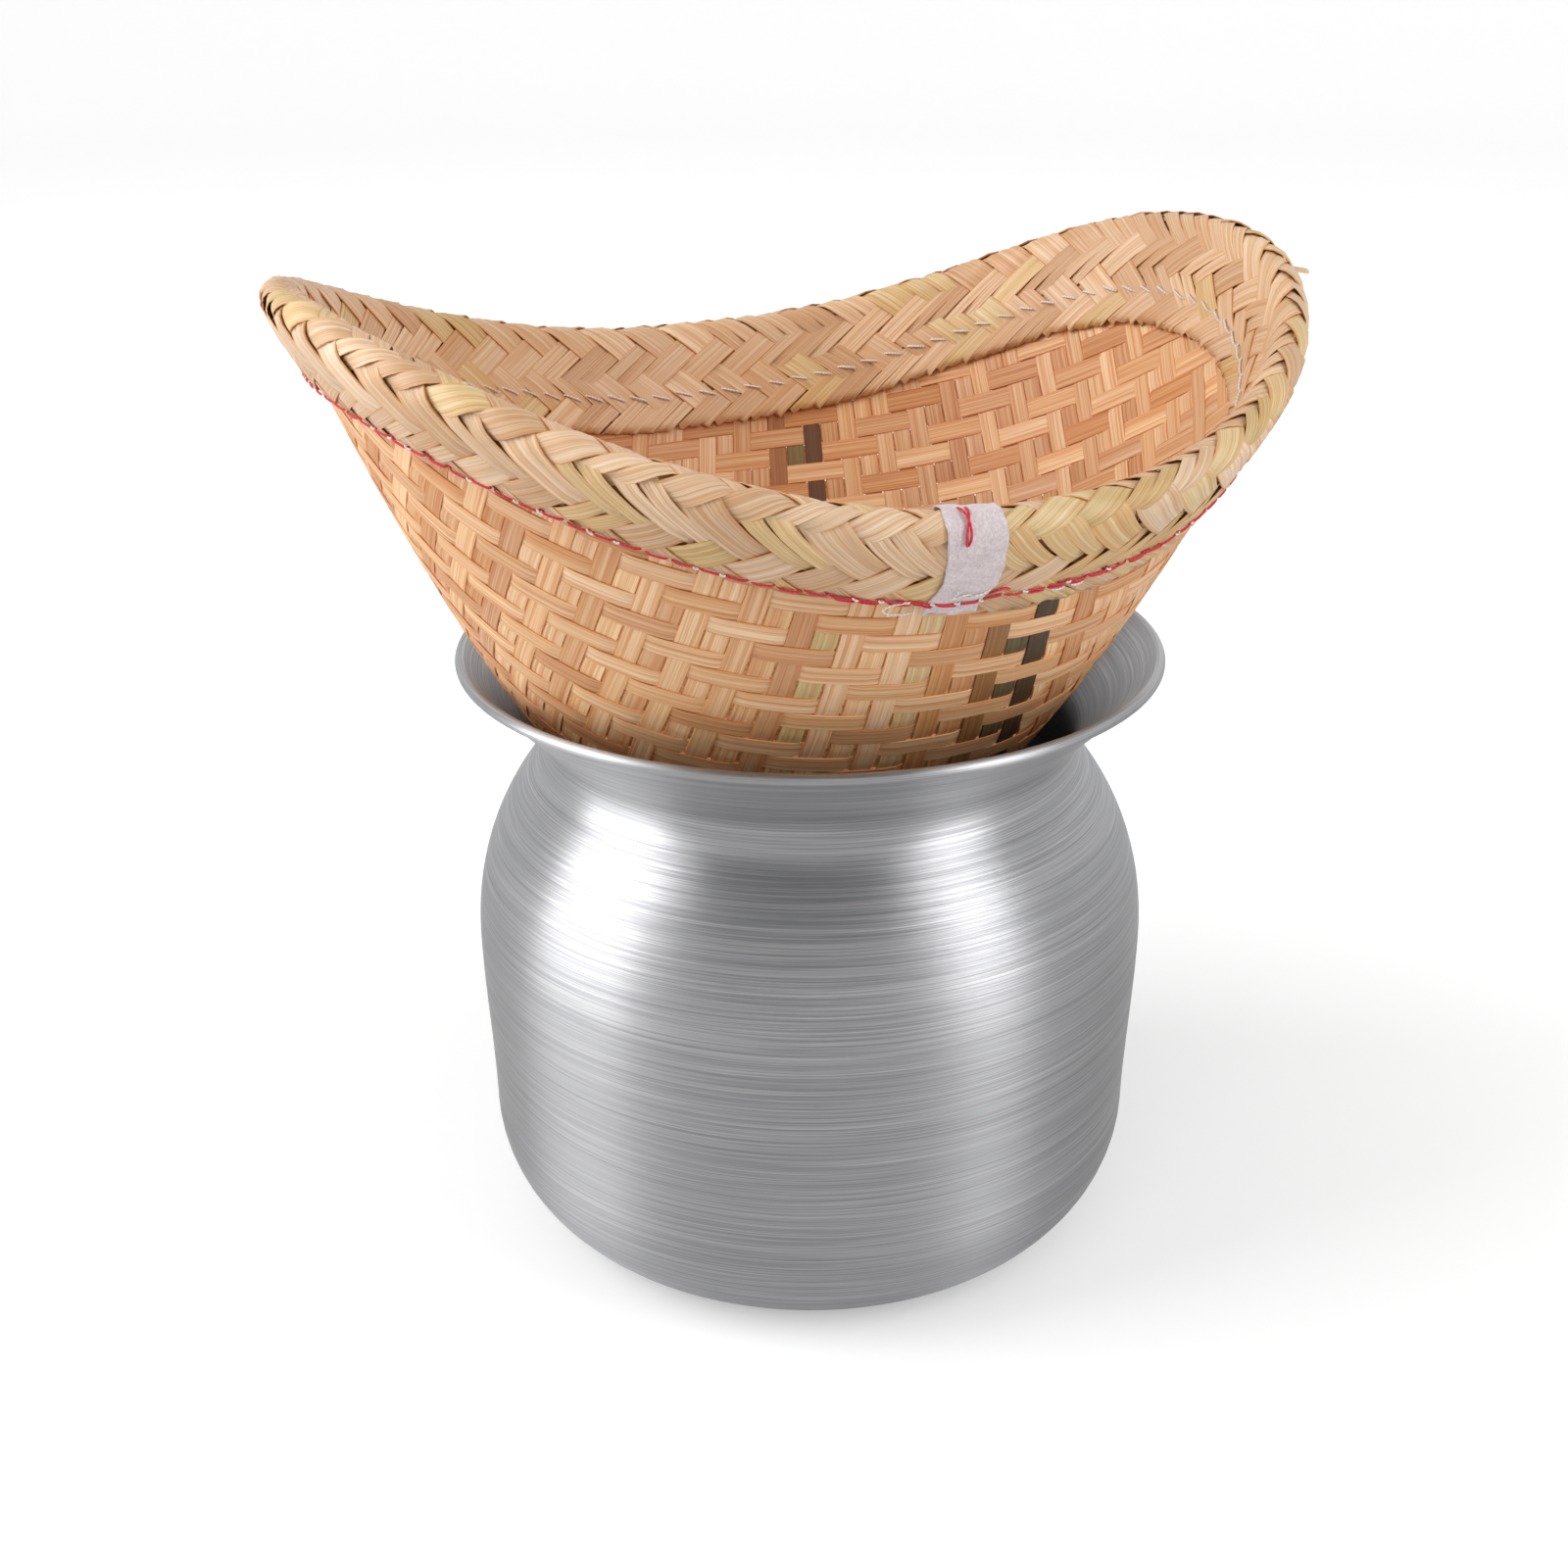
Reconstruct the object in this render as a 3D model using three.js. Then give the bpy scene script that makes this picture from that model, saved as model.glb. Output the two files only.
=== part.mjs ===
// Sticky rice steamer: a spun aluminium pot, and a woven bamboo basket that sits in its neck.
// Millimetres, +Z up. The origin is the centre of the pot's flat base.
// The basket's long axis lies along X, and its rim dips at the front (-Y) and at the back (+Y).

import * as THREE from 'three';

// Pot: one piece of spun sheet with a rolled bead at the lip
const potHeight = 196.5;
const potWall = 1.2;
const mouthRadius = 110;
const beadRadius = 1.7;
const neckRadius = 85;
const neckDrop = 29;
const flareFillet = 9;
const shoulderFillet = 15;
const shoulderAngleDegrees = 39;
const bellyRadius = 107.7;
const bellyDrop = 94.6;
const heelRadius = 105.6;
const heelDrop = 155.3;
const baseRadius = 67.7;

// Basket: a rolled cone of plaited bamboo, pressed oval at its rim
const rimHalfLength = 148;
const rimHalfWidth = 127;
const rimRise = 73.6;
const tipRise = 44.8;
const coneDepth = 83;
// how soon the cone widens from its tip, along and across
const lengthBulgeShare = 0.505;
const widthBulgeShare = 0.61;
const basketShift = -5.8;
const matWall = 1.2;
// how blunt each end of the rim is in plan, and how late it climbs to its tip
const leftTipShares = { blunt: 2, climb: 1.8 };
const rightTipShares = { blunt: 2.19, climb: 2.67 };

// Plaited band, folded over the edge of the mat
const rollRadius = 5.4;
const bandOutsideReach = 31;
const bandInsideReach = 39;
const bandPly = 1.8;
const bandBulgeShare = 0.45;

// Seam through the band, cloth tag over the band's joint, its tie, and a loose splint end.
// A run is a length over the band's face from its crest.
const redSeamRun = 30;
const whiteSeamRun = 29.5;
const threadRadius = 0.45;
const tagTurnDegrees = -92.5;
const tagWidth = 16;
const tagLean = 2;
const tagCloth = 0.5;
const tagOutsideRun = 37;
const tagInsideRun = 14;
const tieLength = 11;
const tieWidth = 2.4;
const tieDrop = 2;
const splintEndTurnDegrees = -14;
const splintEndRun = 8;
const splintEndLength = 8;
const splintEndWidth = 2.6;
const splintEndThickness = 0.9;

// Clearances
const seatGap = 0.4;
const plyGap = 0.3;

// How round the outlines are drawn, and how finely the seat is searched
const shoulderPullShare = 0.35;
const heelPullShare = 0.33;
const slightShare = 0.004;
const slightTurn = 0.004;
const matSpacingPower = 1.5;
const heelDivisions = 5;
const sideDivisions = 3;
const shoulderDivisions = 4;
const filletDivisions = 3;
const beadDivisions = 6;
const potFacets = 72;
const basketFacets = 84;
const matRings = 10;
const rollSteps = 8;
const threadSides = 5;
const tagColumns = 5;
const tieSteps = 20;
const seatChecks = 60;
const seatHalvings = 24;

const degrees = Math.PI / 180;

// Surfaces as grids of points

// A closed solid from a grid of points whose rows and columns both wrap round.
function ringSolid(rows) {
  const count = rows[0].length;
  const positions = rows.flat().flatMap((point) => [point.x, point.y, point.z]);
  const indices = [];
  rows.forEach((row, i) => {
    const next = (i + 1) % rows.length;
    for (let j = 0; j < count; j += 1) {
      const a = i * count + j;
      const b = i * count + (j + 1) % count;
      const c = next * count + (j + 1) % count;
      const d = next * count + j;
      indices.push(a, c, b, a, d, c);
    }
  });
  return indexedGeometry(positions, indices);
}

// A closed solid from wrapping rings between two end points.
function cappedSolid(startPoint, rings, endPoint) {
  const count = rings[0].length;
  const points = [startPoint, ...rings.flat(), endPoint];
  const positions = points.flatMap((point) => [point.x, point.y, point.z]);
  const last = points.length - 1;
  const at = (ring, j) => 1 + ring * count + (j % count);
  const indices = [];
  for (let j = 0; j < count; j += 1) {
    indices.push(0, at(0, j + 1), at(0, j));
    indices.push(last, at(rings.length - 1, j), at(rings.length - 1, j + 1));
    for (let i = 0; i < rings.length - 1; i += 1) {
      indices.push(at(i, j), at(i, j + 1), at(i + 1, j + 1));
      indices.push(at(i, j), at(i + 1, j + 1), at(i + 1, j));
    }
  }
  return indexedGeometry(positions, indices);
}

// A closed sheet between two grids of points of the same size.
function sheetSolid(outside, inside) {
  const rows = outside.length;
  const columns = outside[0].length;
  const points = [...outside.flat(), ...inside.flat()];
  const positions = points.flatMap((point) => [point.x, point.y, point.z]);
  const back = rows * columns;
  const at = (i, j) => i * columns + j;
  const indices = [];
  const quad = (a, b, c, d) => indices.push(a, b, c, a, c, d);
  for (let i = 0; i < rows - 1; i += 1) {
    for (let j = 0; j < columns - 1; j += 1) {
      quad(at(i, j), at(i + 1, j), at(i + 1, j + 1), at(i, j + 1));
      quad(back + at(i, j), back + at(i, j + 1), back + at(i + 1, j + 1), back + at(i + 1, j));
    }
  }
  for (let i = 0; i < rows - 1; i += 1) {
    quad(at(i, 0), back + at(i, 0), back + at(i + 1, 0), at(i + 1, 0));
    const end = at(i, columns - 1);
    quad(end, end + columns, back + end + columns, back + end);
  }
  for (let j = 0; j < columns - 1; j += 1) {
    quad(at(0, j), at(0, j + 1), back + at(0, j + 1), back + at(0, j));
    quad(at(rows - 1, j), back + at(rows - 1, j), back + at(rows - 1, j + 1), at(rows - 1, j + 1));
  }
  return indexedGeometry(positions, indices);
}

function indexedGeometry(positions, indices) {
  const geometry = new THREE.BufferGeometry();
  geometry.setAttribute('position', new THREE.Float32BufferAttribute(positions, 3));
  geometry.setIndex(indices);
  geometry.computeVertexNormals();
  return geometry;
}

// Even steps from 0 to 1.
function steps(count) {
  return Array.from({ length: count + 1 }, (_, i) => i / count);
}

// Pot profile, as radius and height

// The flare leaves its fillet at the angle at which its line meets the bead.
function flareAngle() {
  const across = (mouthRadius - beadRadius) - (neckRadius + flareFillet);
  const up = neckDrop - beadRadius;
  const reach = flareFillet - (beadRadius - potWall);
  return Math.asin(reach / Math.hypot(across, up)) + Math.atan2(across, up);
}

function arc(x, y, radius, startAngle, endAngle) {
  return new THREE.EllipseCurve(x, y, radius, radius, startAngle, endAngle, endAngle < startAngle);
}

// Points along curves that follow each other, each curve with its own number of divisions.
function pointsAlong(stretches) {
  return stretches.flatMap(([curve, divisions], i) => curve.getPoints(divisions).slice(i ? 1 : 0));
}

function potOutside() {
  const neckHeight = potHeight - neckDrop;
  const bellyHeight = potHeight - bellyDrop;
  const heelHeight = potHeight - heelDrop;
  const shoulderAngle = shoulderAngleDegrees * degrees;
  const shoulderEnd = new THREE.Vector2(
    neckRadius + shoulderFillet * (1 - Math.cos(shoulderAngle)),
    neckHeight - shoulderFillet * Math.sin(shoulderAngle),
  );
  const belly = new THREE.Vector2(bellyRadius, bellyHeight);
  const shoulderPull = belly.distanceTo(shoulderEnd) * shoulderPullShare;
  const heelPull = (bellyHeight - heelHeight) * heelPullShare;
  const flare = flareAngle();
  const heel = [
    baseRadius,
    heelHeight,
    heelRadius - baseRadius,
    heelHeight,
    -Math.PI / 2,
    0,
  ];
  return pointsAlong([
    [new THREE.LineCurve(new THREE.Vector2(0, 0), new THREE.Vector2(baseRadius, 0)), 1],
    [new THREE.EllipseCurve(...heel), heelDivisions],
    [new THREE.CubicBezierCurve(
      new THREE.Vector2(heelRadius, heelHeight),
      new THREE.Vector2(heelRadius, heelHeight + heelPull),
      new THREE.Vector2(bellyRadius, bellyHeight - heelPull),
      belly,
    ), sideDivisions],
    [new THREE.CubicBezierCurve(
      belly,
      new THREE.Vector2(bellyRadius, bellyHeight + shoulderPull),
      new THREE.Vector2(
        shoulderEnd.x + shoulderPull * Math.sin(shoulderAngle),
        shoulderEnd.y - shoulderPull * Math.cos(shoulderAngle),
      ),
      shoulderEnd,
    ), shoulderDivisions],
    [arc(neckRadius + shoulderFillet, neckHeight, shoulderFillet, Math.PI + shoulderAngle, Math.PI),
      filletDivisions],
    [arc(neckRadius + flareFillet, neckHeight, flareFillet, Math.PI, Math.PI - flare), filletDivisions],
  ]);
}

// The same line moved into the pot by the wall.
function movedInwards(line, distance) {
  return line.map((point, i) => {
    const before = line[Math.max(i - 1, 0)];
    const after = line[Math.min(i + 1, line.length - 1)];
    const along = after.clone().sub(before).normalize();
    return new THREE.Vector2(Math.max(point.x - along.y * distance, 0), point.y + along.x * distance);
  });
}

function flareLine() {
  const angle = flareAngle();
  const along = new THREE.Vector2(Math.sin(angle), Math.cos(angle));
  const inwards = new THREE.Vector2(-Math.cos(angle), Math.sin(angle));
  return { along, inwards };
}

// The bead starts where the flare's outer face meets it, and ends where the inner face leaves it.
function beadOutline() {
  const { along, inwards } = flareLine();
  const depth = beadRadius - potWall;
  const start = inwards.clone().multiplyScalar(depth);
  start.addScaledVector(along, -Math.sqrt(beadRadius ** 2 - depth ** 2));
  const endAngle = inwards.angle() + 2 * Math.PI;
  return arc(mouthRadius - beadRadius, potHeight - beadRadius, beadRadius, start.angle(), endAngle)
    .getPoints(beadDivisions);
}

const outsideLine = potOutside();
const insideLine = movedInwards(outsideLine, potWall);

function potGeometry() {
  const profile = [...outsideLine, ...beadOutline(), ...insideLine.slice().reverse()];
  const geometry = new THREE.LatheGeometry(profile, potFacets);
  return geometry.rotateX(Math.PI / 2);
}

// The pot's inner radius at a height above its belly.
function insideRadius(height) {
  const lip = flareLine().inwards.multiplyScalar(beadRadius);
  lip.add(new THREE.Vector2(mouthRadius - beadRadius, potHeight - beadRadius));
  const line = [...insideLine.filter((point) => point.y > potHeight - bellyDrop), lip];
  const level = Math.min(height, lip.y);
  const upper = Math.max(line.findIndex((point) => point.y >= level), 1);
  const below = line[upper - 1];
  const above = line[upper];
  return THREE.MathUtils.mapLinear(level, below.y, above.y, below.x, above.x);
}

// Basket wall: turn is the angle about the axis from +X, share runs from 0 at the tip of the cone
// to 1 at the rim's crest. Heights are from the mouth of the pot.

function wallPoint(turn, share) {
  const end = Math.cos(turn) < 0 ? leftTipShares : rightTipShares;
  const lengthPart = Math.abs(Math.cos(turn) / rimHalfLength) ** end.blunt;
  const widthPart = Math.abs(Math.sin(turn) / rimHalfWidth) ** end.blunt;
  const reach = (lengthPart + widthPart) ** (-1 / end.blunt);
  const rimX = reach * Math.cos(turn);
  const rimY = reach * Math.sin(turn);
  const climb = rimRise + tipRise * Math.abs(rimX / rimHalfLength) ** end.climb;
  return new THREE.Vector3(
    rimX * share ** lengthBulgeShare,
    rimY * share ** widthBulgeShare,
    share * (climb + coneDepth) - coneDepth,
  );
}

function wallNormal(turn, share) {
  const around = wallPoint(turn + slightTurn, share).sub(wallPoint(turn - slightTurn, share));
  const up = wallPoint(turn, share * (1 + slightShare)).sub(wallPoint(turn, share * (1 - slightShare)));
  return around.cross(up).normalize();
}

// The share at a distance below the crest, measured down the wall.
function shareBelowCrest(turn, distance) {
  const crest = wallPoint(turn, 1);
  const rimSpeed = crest.distanceTo(wallPoint(turn, 1 - slightShare)) / slightShare;
  const middle = 1 - distance / rimSpeed / 2;
  const nearby = wallPoint(turn, middle - slightShare);
  const speed = wallPoint(turn, middle).distanceTo(nearby) / slightShare;
  return 1 - distance / speed;
}

// A point below the crest by one distance and out of the wall's face by another.
function offWall(turn, distance, out) {
  const share = shareBelowCrest(turn, distance);
  return wallPoint(turn, share).addScaledVector(wallNormal(turn, share), out);
}

const basketTurns = steps(basketFacets).slice(0, -1).map((share) => share * 2 * Math.PI);

// The basket drops into the neck until its wall is one gap from the flare.
function seatClearance(lift) {
  let least = Infinity;
  basketTurns.forEach((turn) => {
    steps(seatChecks).slice(1).forEach((share) => {
      const point = wallPoint(turn, share);
      const height = potHeight + lift + point.z;
      if (height < potHeight && height > potHeight - bellyDrop) {
        const reach = Math.hypot(point.x + basketShift, point.y);
        least = Math.min(least, insideRadius(height) - reach);
      }
    });
  });
  return least;
}

function seatLift() {
  let low = -coneDepth;
  let high = coneDepth;
  for (let i = 0; i < seatHalvings; i += 1) {
    const middle = (low + high) / 2;
    if (seatClearance(middle) < seatGap) {
      low = middle;
    } else {
      high = middle;
    }
  }
  return high;
}

function matGeometry() {
  const levels = steps(matRings).slice(1).map((share) => share ** matSpacingPower);
  const ring = (level, out) => basketTurns.map((turn) => {
    const share = level * shareBelowCrest(turn, rollRadius + plyGap);
    return wallPoint(turn, share).addScaledVector(wallNormal(turn, share), out);
  });
  const outside = levels.map((level) => ring(level, 0));
  const inside = levels.map((level) => ring(level, -matWall)).reverse();
  const tip = new THREE.Vector3(0, 0, -coneDepth);
  return cappedSolid(tip, [...outside, ...inside], new THREE.Vector3(0, 0, matWall - coneDepth));
}

// Section of the band: x is the distance below the crest, y is out of the mat's outer face.

const matMiddle = -matWall / 2;

// The face that shows, from the lower edge outside, over the roll, to the lower edge inside.
function bandFace() {
  const side = (sign, reach) => {
    const edgeOut = matMiddle + sign * (matWall / 2 + plyGap + bandPly);
    const rollOut = matMiddle + sign * rollRadius;
    const bulge = THREE.MathUtils.lerp(rollOut, edgeOut, bandBulgeShare ** 2);
    return [
      new THREE.Vector2(reach, edgeOut),
      new THREE.Vector2(THREE.MathUtils.lerp(rollRadius, reach, bandBulgeShare), bulge),
    ];
  };
  const roll = steps(rollSteps).map((share) => new THREE.Vector2(
    rollRadius * (1 - Math.sin(share * Math.PI)),
    matMiddle + rollRadius * Math.cos(share * Math.PI),
  ));
  return [...side(1, bandOutsideReach), ...roll, ...side(-1, bandInsideReach).reverse()];
}

function bandGeometry() {
  const groove = [
    new THREE.Vector2(bandInsideReach, -matWall - plyGap),
    new THREE.Vector2(rollRadius, -matWall - plyGap),
    new THREE.Vector2(rollRadius, plyGap),
    new THREE.Vector2(bandOutsideReach, plyGap),
  ];
  const section = [...bandFace(), ...groove];
  return ringSolid(basketTurns.map((turn) => section.map((point) => offWall(turn, point.x, point.y))));
}

// How far each corner of the face lies from the crest, along the face: more than zero outside.
function cornerRuns(face) {
  const crest = (face.length - 1) / 2;
  const lengths = face.slice(1).map((corner, i) => corner.distanceTo(face[i]));
  return face.map((corner, i) => {
    const between = lengths.slice(Math.min(i, crest), Math.max(i, crest));
    return Math.sign(crest - i) * between.reduce((sum, length) => sum + length, 0);
  });
}

const bandCorners = bandFace();
const bandRuns = cornerRuns(bandCorners);

// A point at a run along the band's face, and at a distance out from the face.
function overBand(turn, run, standOff) {
  const reached = bandRuns.findIndex((cornerRun) => cornerRun < run);
  const after = THREE.MathUtils.clamp(reached, 1, bandRuns.length - 1);
  const share = (bandRuns[after - 1] - run) / (bandRuns[after - 1] - bandRuns[after]);
  const along = bandCorners[after].clone().sub(bandCorners[after - 1]).normalize();
  const spot = bandCorners[after - 1].clone().lerp(bandCorners[after], share);
  return offWall(turn, spot.x + along.y * standOff, spot.y - along.x * standOff);
}

function closedTube(points, outwards, radius) {
  return ringSolid(points.map((point, i) => {
    const before = points[(i + points.length - 1) % points.length];
    const after = points[(i + 1) % points.length];
    const along = after.clone().sub(before).normalize();
    const side = along.clone().cross(outwards[i]).normalize();
    const up = side.clone().cross(along);
    return steps(threadSides).slice(1).map((share) => point.clone()
      .addScaledVector(side, radius * Math.cos(share * 2 * Math.PI))
      .addScaledVector(up, radius * Math.sin(share * 2 * Math.PI)));
  }));
}

const tagTurn = tagTurnDegrees * degrees;
const tagRadius = Math.hypot(wallPoint(tagTurn, 1).x, wallPoint(tagTurn, 1).y);
const threadLift = plyGap + threadRadius;
const tagLift = plyGap + tagCloth;

// The seam's red thread steps up where it is sewn over the tag.
function redThreadLift(turn) {
  const fromTag = Math.abs(turn - tagTurn) * tagRadius;
  return threadLift + tagLift * (1 - THREE.MathUtils.smoothstep(fromTag, tagWidth, 2 * tagWidth));
}

function seamGeometry(run, lift) {
  const points = seamTurns.map((turn) => overBand(turn, run, lift(turn)));
  const outwards = seamTurns.map((turn) => wallNormal(turn, 1));
  return closedTube(points, outwards, threadRadius);
}

const seamTurns = basketTurns.map((turn) => turn + tagTurn - Math.PI);

// A place on the tag: across it and down its outside from the crest.
function overTag(across, run, lift) {
  const lean = tagLean * run / tagOutsideRun;
  return overBand(tagTurn + (across + lean) / tagRadius, run, lift);
}

function tagGeometry() {
  const corners = bandRuns.filter((run) => run > -tagInsideRun && run < tagOutsideRun).reverse();
  const runs = [-tagInsideRun, ...corners, tagOutsideRun];
  const layer = (lift) => runs.map((run) => steps(tagColumns).map((share) => overTag(
    tagWidth * (share - 1 / 2),
    run,
    lift,
  )));
  return sheetSolid(layer(tagLift), layer(plyGap));
}

function tieGeometry() {
  const turns = steps(tieSteps).slice(1).map((share) => share * 2 * Math.PI);
  const lift = tagLift + threadLift;
  const points = turns.map((turn) => overTag(
    tieWidth / 2 * Math.sin(turn),
    tieDrop + tieLength / 2 * (1 - Math.cos(turn)),
    lift,
  ));
  const outwards = turns.map(() => wallNormal(tagTurn, 1));
  return closedTube(points, outwards, threadRadius);
}

// The loose end of one band splint stands out of the roll near the right tip.
function splintEnd(material) {
  const turn = splintEndTurnDegrees * degrees;
  const root = overBand(turn, splintEndRun, plyGap);
  const outwards = overBand(turn, splintEndRun, plyGap + splintEndLength).sub(root).normalize();
  const around = wallPoint(turn + slightTurn, 1).sub(wallPoint(turn - slightTurn, 1));
  const across = around.addScaledVector(outwards, -around.dot(outwards)).normalize();
  const geometry = new THREE.BoxGeometry(splintEndLength, splintEndWidth, splintEndThickness);
  geometry.translate(splintEndLength / 2, 0, 0);
  const mesh = new THREE.Mesh(geometry, material);
  const turned = new THREE.Matrix4().makeBasis(outwards, across, outwards.clone().cross(across));
  mesh.quaternion.setFromRotationMatrix(turned);
  mesh.position.copy(root);
  return mesh;
}

function finish(color, roughness, metalness) {
  return new THREE.MeshStandardMaterial({ color, roughness, metalness });
}

const aluminium = finish(0xb9babd, 0.35, 1);
const bamboo = finish(0xdcb487, 0.6, 0);
const paleBamboo = finish(0xd8c69a, 0.6, 0);
const redThread = finish(0xbe1828, 0.8, 0);
const whiteThread = finish(0xe6dcd6, 0.8, 0);
const tagClothFinish = finish(0xe4dcdf, 0.9, 0);

function named(name, mesh) {
  mesh.name = name;
  return mesh;
}

const basket = new THREE.Group();
basket.position.set(basketShift, 0, potHeight + seatLift());
basket.add(
  named('basket_mat', new THREE.Mesh(matGeometry(), bamboo)),
  named('rim_band', new THREE.Mesh(bandGeometry(), paleBamboo)),
  named('red_seam_thread', new THREE.Mesh(seamGeometry(redSeamRun, redThreadLift), redThread)),
  named('white_seam_thread', new THREE.Mesh(seamGeometry(-whiteSeamRun, () => threadLift), whiteThread)),
  named('joint_tag', new THREE.Mesh(tagGeometry(), tagClothFinish)),
  named('tag_tie', new THREE.Mesh(tieGeometry(), redThread)),
  named('loose_splint_end', splintEnd(paleBamboo)),
);

const steamer = new THREE.Group();
steamer.add(named('pot', new THREE.Mesh(potGeometry(), aluminium)), basket);

export default steamer;
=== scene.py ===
import math
import bpy
import numpy as np
from mathutils import Matrix, Vector


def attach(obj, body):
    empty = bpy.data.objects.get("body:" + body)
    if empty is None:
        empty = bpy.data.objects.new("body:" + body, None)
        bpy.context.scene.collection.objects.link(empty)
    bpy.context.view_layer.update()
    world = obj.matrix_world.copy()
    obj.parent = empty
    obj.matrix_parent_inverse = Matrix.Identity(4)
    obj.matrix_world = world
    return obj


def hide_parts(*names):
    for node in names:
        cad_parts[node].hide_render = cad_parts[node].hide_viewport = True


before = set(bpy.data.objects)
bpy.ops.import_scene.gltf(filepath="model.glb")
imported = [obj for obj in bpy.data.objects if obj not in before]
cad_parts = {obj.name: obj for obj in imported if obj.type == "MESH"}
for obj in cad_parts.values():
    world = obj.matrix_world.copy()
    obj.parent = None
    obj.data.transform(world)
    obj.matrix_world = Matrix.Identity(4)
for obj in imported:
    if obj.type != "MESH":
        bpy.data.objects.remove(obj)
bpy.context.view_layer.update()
scene = bpy.context.scene
print("frame loaded")

# Sizes in the dictionaries are millimetres unless they say otherwise; meshes are in metres.
mm = 0.001


def srgb(red, green, blue):
    return tuple(((v / 255 + 0.055) / 1.055) ** 2.4 if v > 10 else v / 3295 for v in (red, green, blue))


# Helpers for node trees and meshes

def setInputs(tree, node, inputs):
    for socket, value in dict(inputs).items():
        if isinstance(value, bpy.types.NodeSocket):
            tree.links.new(value, node.inputs[socket])
        else:
            node.inputs[socket].default_value = value


def newNode(tree, kind, inputs=(), **settings):
    node = tree.nodes.new(kind)
    for name, value in settings.items():
        setattr(node, name, value)
    setInputs(tree, node, inputs)
    return node


def clearedTree(owner):
    owner.use_nodes = True
    owner.node_tree.nodes.clear()
    return owner.node_tree


def newMaterial(name):
    material = bpy.data.materials.new(name)
    tree = clearedTree(material)
    shader = tree.nodes.new("ShaderNodeBsdfPrincipled")
    newNode(tree, "ShaderNodeOutputMaterial", {0: shader.outputs[0]})
    return material, tree, shader


def objectPlace(tree):
    return tree.nodes.new("ShaderNodeTexCoord").outputs["Object"]


def stored(tree, name, output="Fac"):
    return newNode(tree, "ShaderNodeAttribute", attribute_name=name).outputs[output]


def math1(tree, operation, a, b=0.0, c=0.0):
    return newNode(tree, "ShaderNodeMath", {0: a, 1: b, 2: c}, operation=operation).outputs[0]


def stretchedNoise(tree, vector, scale, detail=3.0, roughness=0.55):
    mapping = newNode(tree, "ShaderNodeMapping", {"Vector": vector, "Scale": scale})
    return newNode(tree, "ShaderNodeTexNoise", {
        "Vector": mapping.outputs[0], "Scale": 1.0, "Detail": detail, "Roughness": roughness}).outputs["Fac"]


def spread(tree, value, low, high, newLow, newHigh):
    return newNode(tree, "ShaderNodeMapRange", {
        "Value": value, "From Min": low, "From Max": high, "To Min": newLow, "To Max": newHigh}).outputs[0]


def mixColors(tree, factor, first, second, mode="MIX"):
    first, second = (v if isinstance(v, bpy.types.NodeSocket) else (*v[:3], 1) for v in (first, second))
    return newNode(tree, "ShaderNodeMix", {0: factor, 6: first, 7: second},
                   data_type="RGBA", blend_type=mode).outputs[2]


def addBump(tree, shader, layers):
    normal = None
    for height, strength, distance in layers:
        bump = newNode(tree, "ShaderNodeBump", {"Height": height, "Strength": strength, "Distance": distance})
        if normal:
            tree.links.new(normal, bump.inputs["Normal"])
        normal = bump.outputs[0]
    tree.links.new(normal, shader.inputs["Normal"])


def linkedObject(name, mesh):
    thing = bpy.data.objects.new(name, mesh)
    scene.collection.objects.link(thing)
    return thing


def meshObject(name, points, faces):
    mesh = bpy.data.meshes.new(name)
    mesh.from_pydata([tuple(p) for p in points], [], faces)
    mesh.update()
    mesh.polygons.foreach_set("use_smooth", [True] * len(mesh.polygons))
    return linkedObject(name, mesh)


def addPiece(piece, body, node):
    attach(piece, body)
    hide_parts(node)
    print(piece.name, len(piece.data.polygons), "faces")


# Camera, at the photograph's place
cameraValues = dict(
    azimuth=-24.5, elevation=19.547, distance=650.0, aimHeight=196.5,
    pitchDown=23.596, turn=0.761, roll=-0.22,
    focalPixels=2113.7, imagePixels=1600, sensor=36, nearest=0.01,
)


def aroundObject(azimuth, height, distance):
    angle = math.radians(azimuth + cameraValues["azimuth"])
    return Vector((math.sin(angle) * distance, -math.cos(angle) * distance, height)) * mm


def makeCamera():
    v = cameraValues
    data = bpy.data.cameras.new("camera")
    data.sensor_width = v["sensor"]
    data.lens = v["focalPixels"] / v["imagePixels"] * data.sensor_width
    data.clip_start = v["nearest"]
    camera = linkedObject("camera", data)
    up = math.radians(v["elevation"])
    place = aroundObject(0, v["aimHeight"] + v["distance"] * math.sin(up), v["distance"] * math.cos(up))
    turned = Matrix.Rotation(math.radians(v["azimuth"] + v["turn"]), 4, "Z")
    tipped = Matrix.Rotation(math.radians(90 - v["pitchDown"]), 4, "X")
    rolled = Matrix.Rotation(math.radians(v["roll"]), 4, "Z")
    camera.matrix_world = Matrix.Translation(place) @ turned @ tipped @ rolled
    scene.camera = camera


makeCamera()

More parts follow.
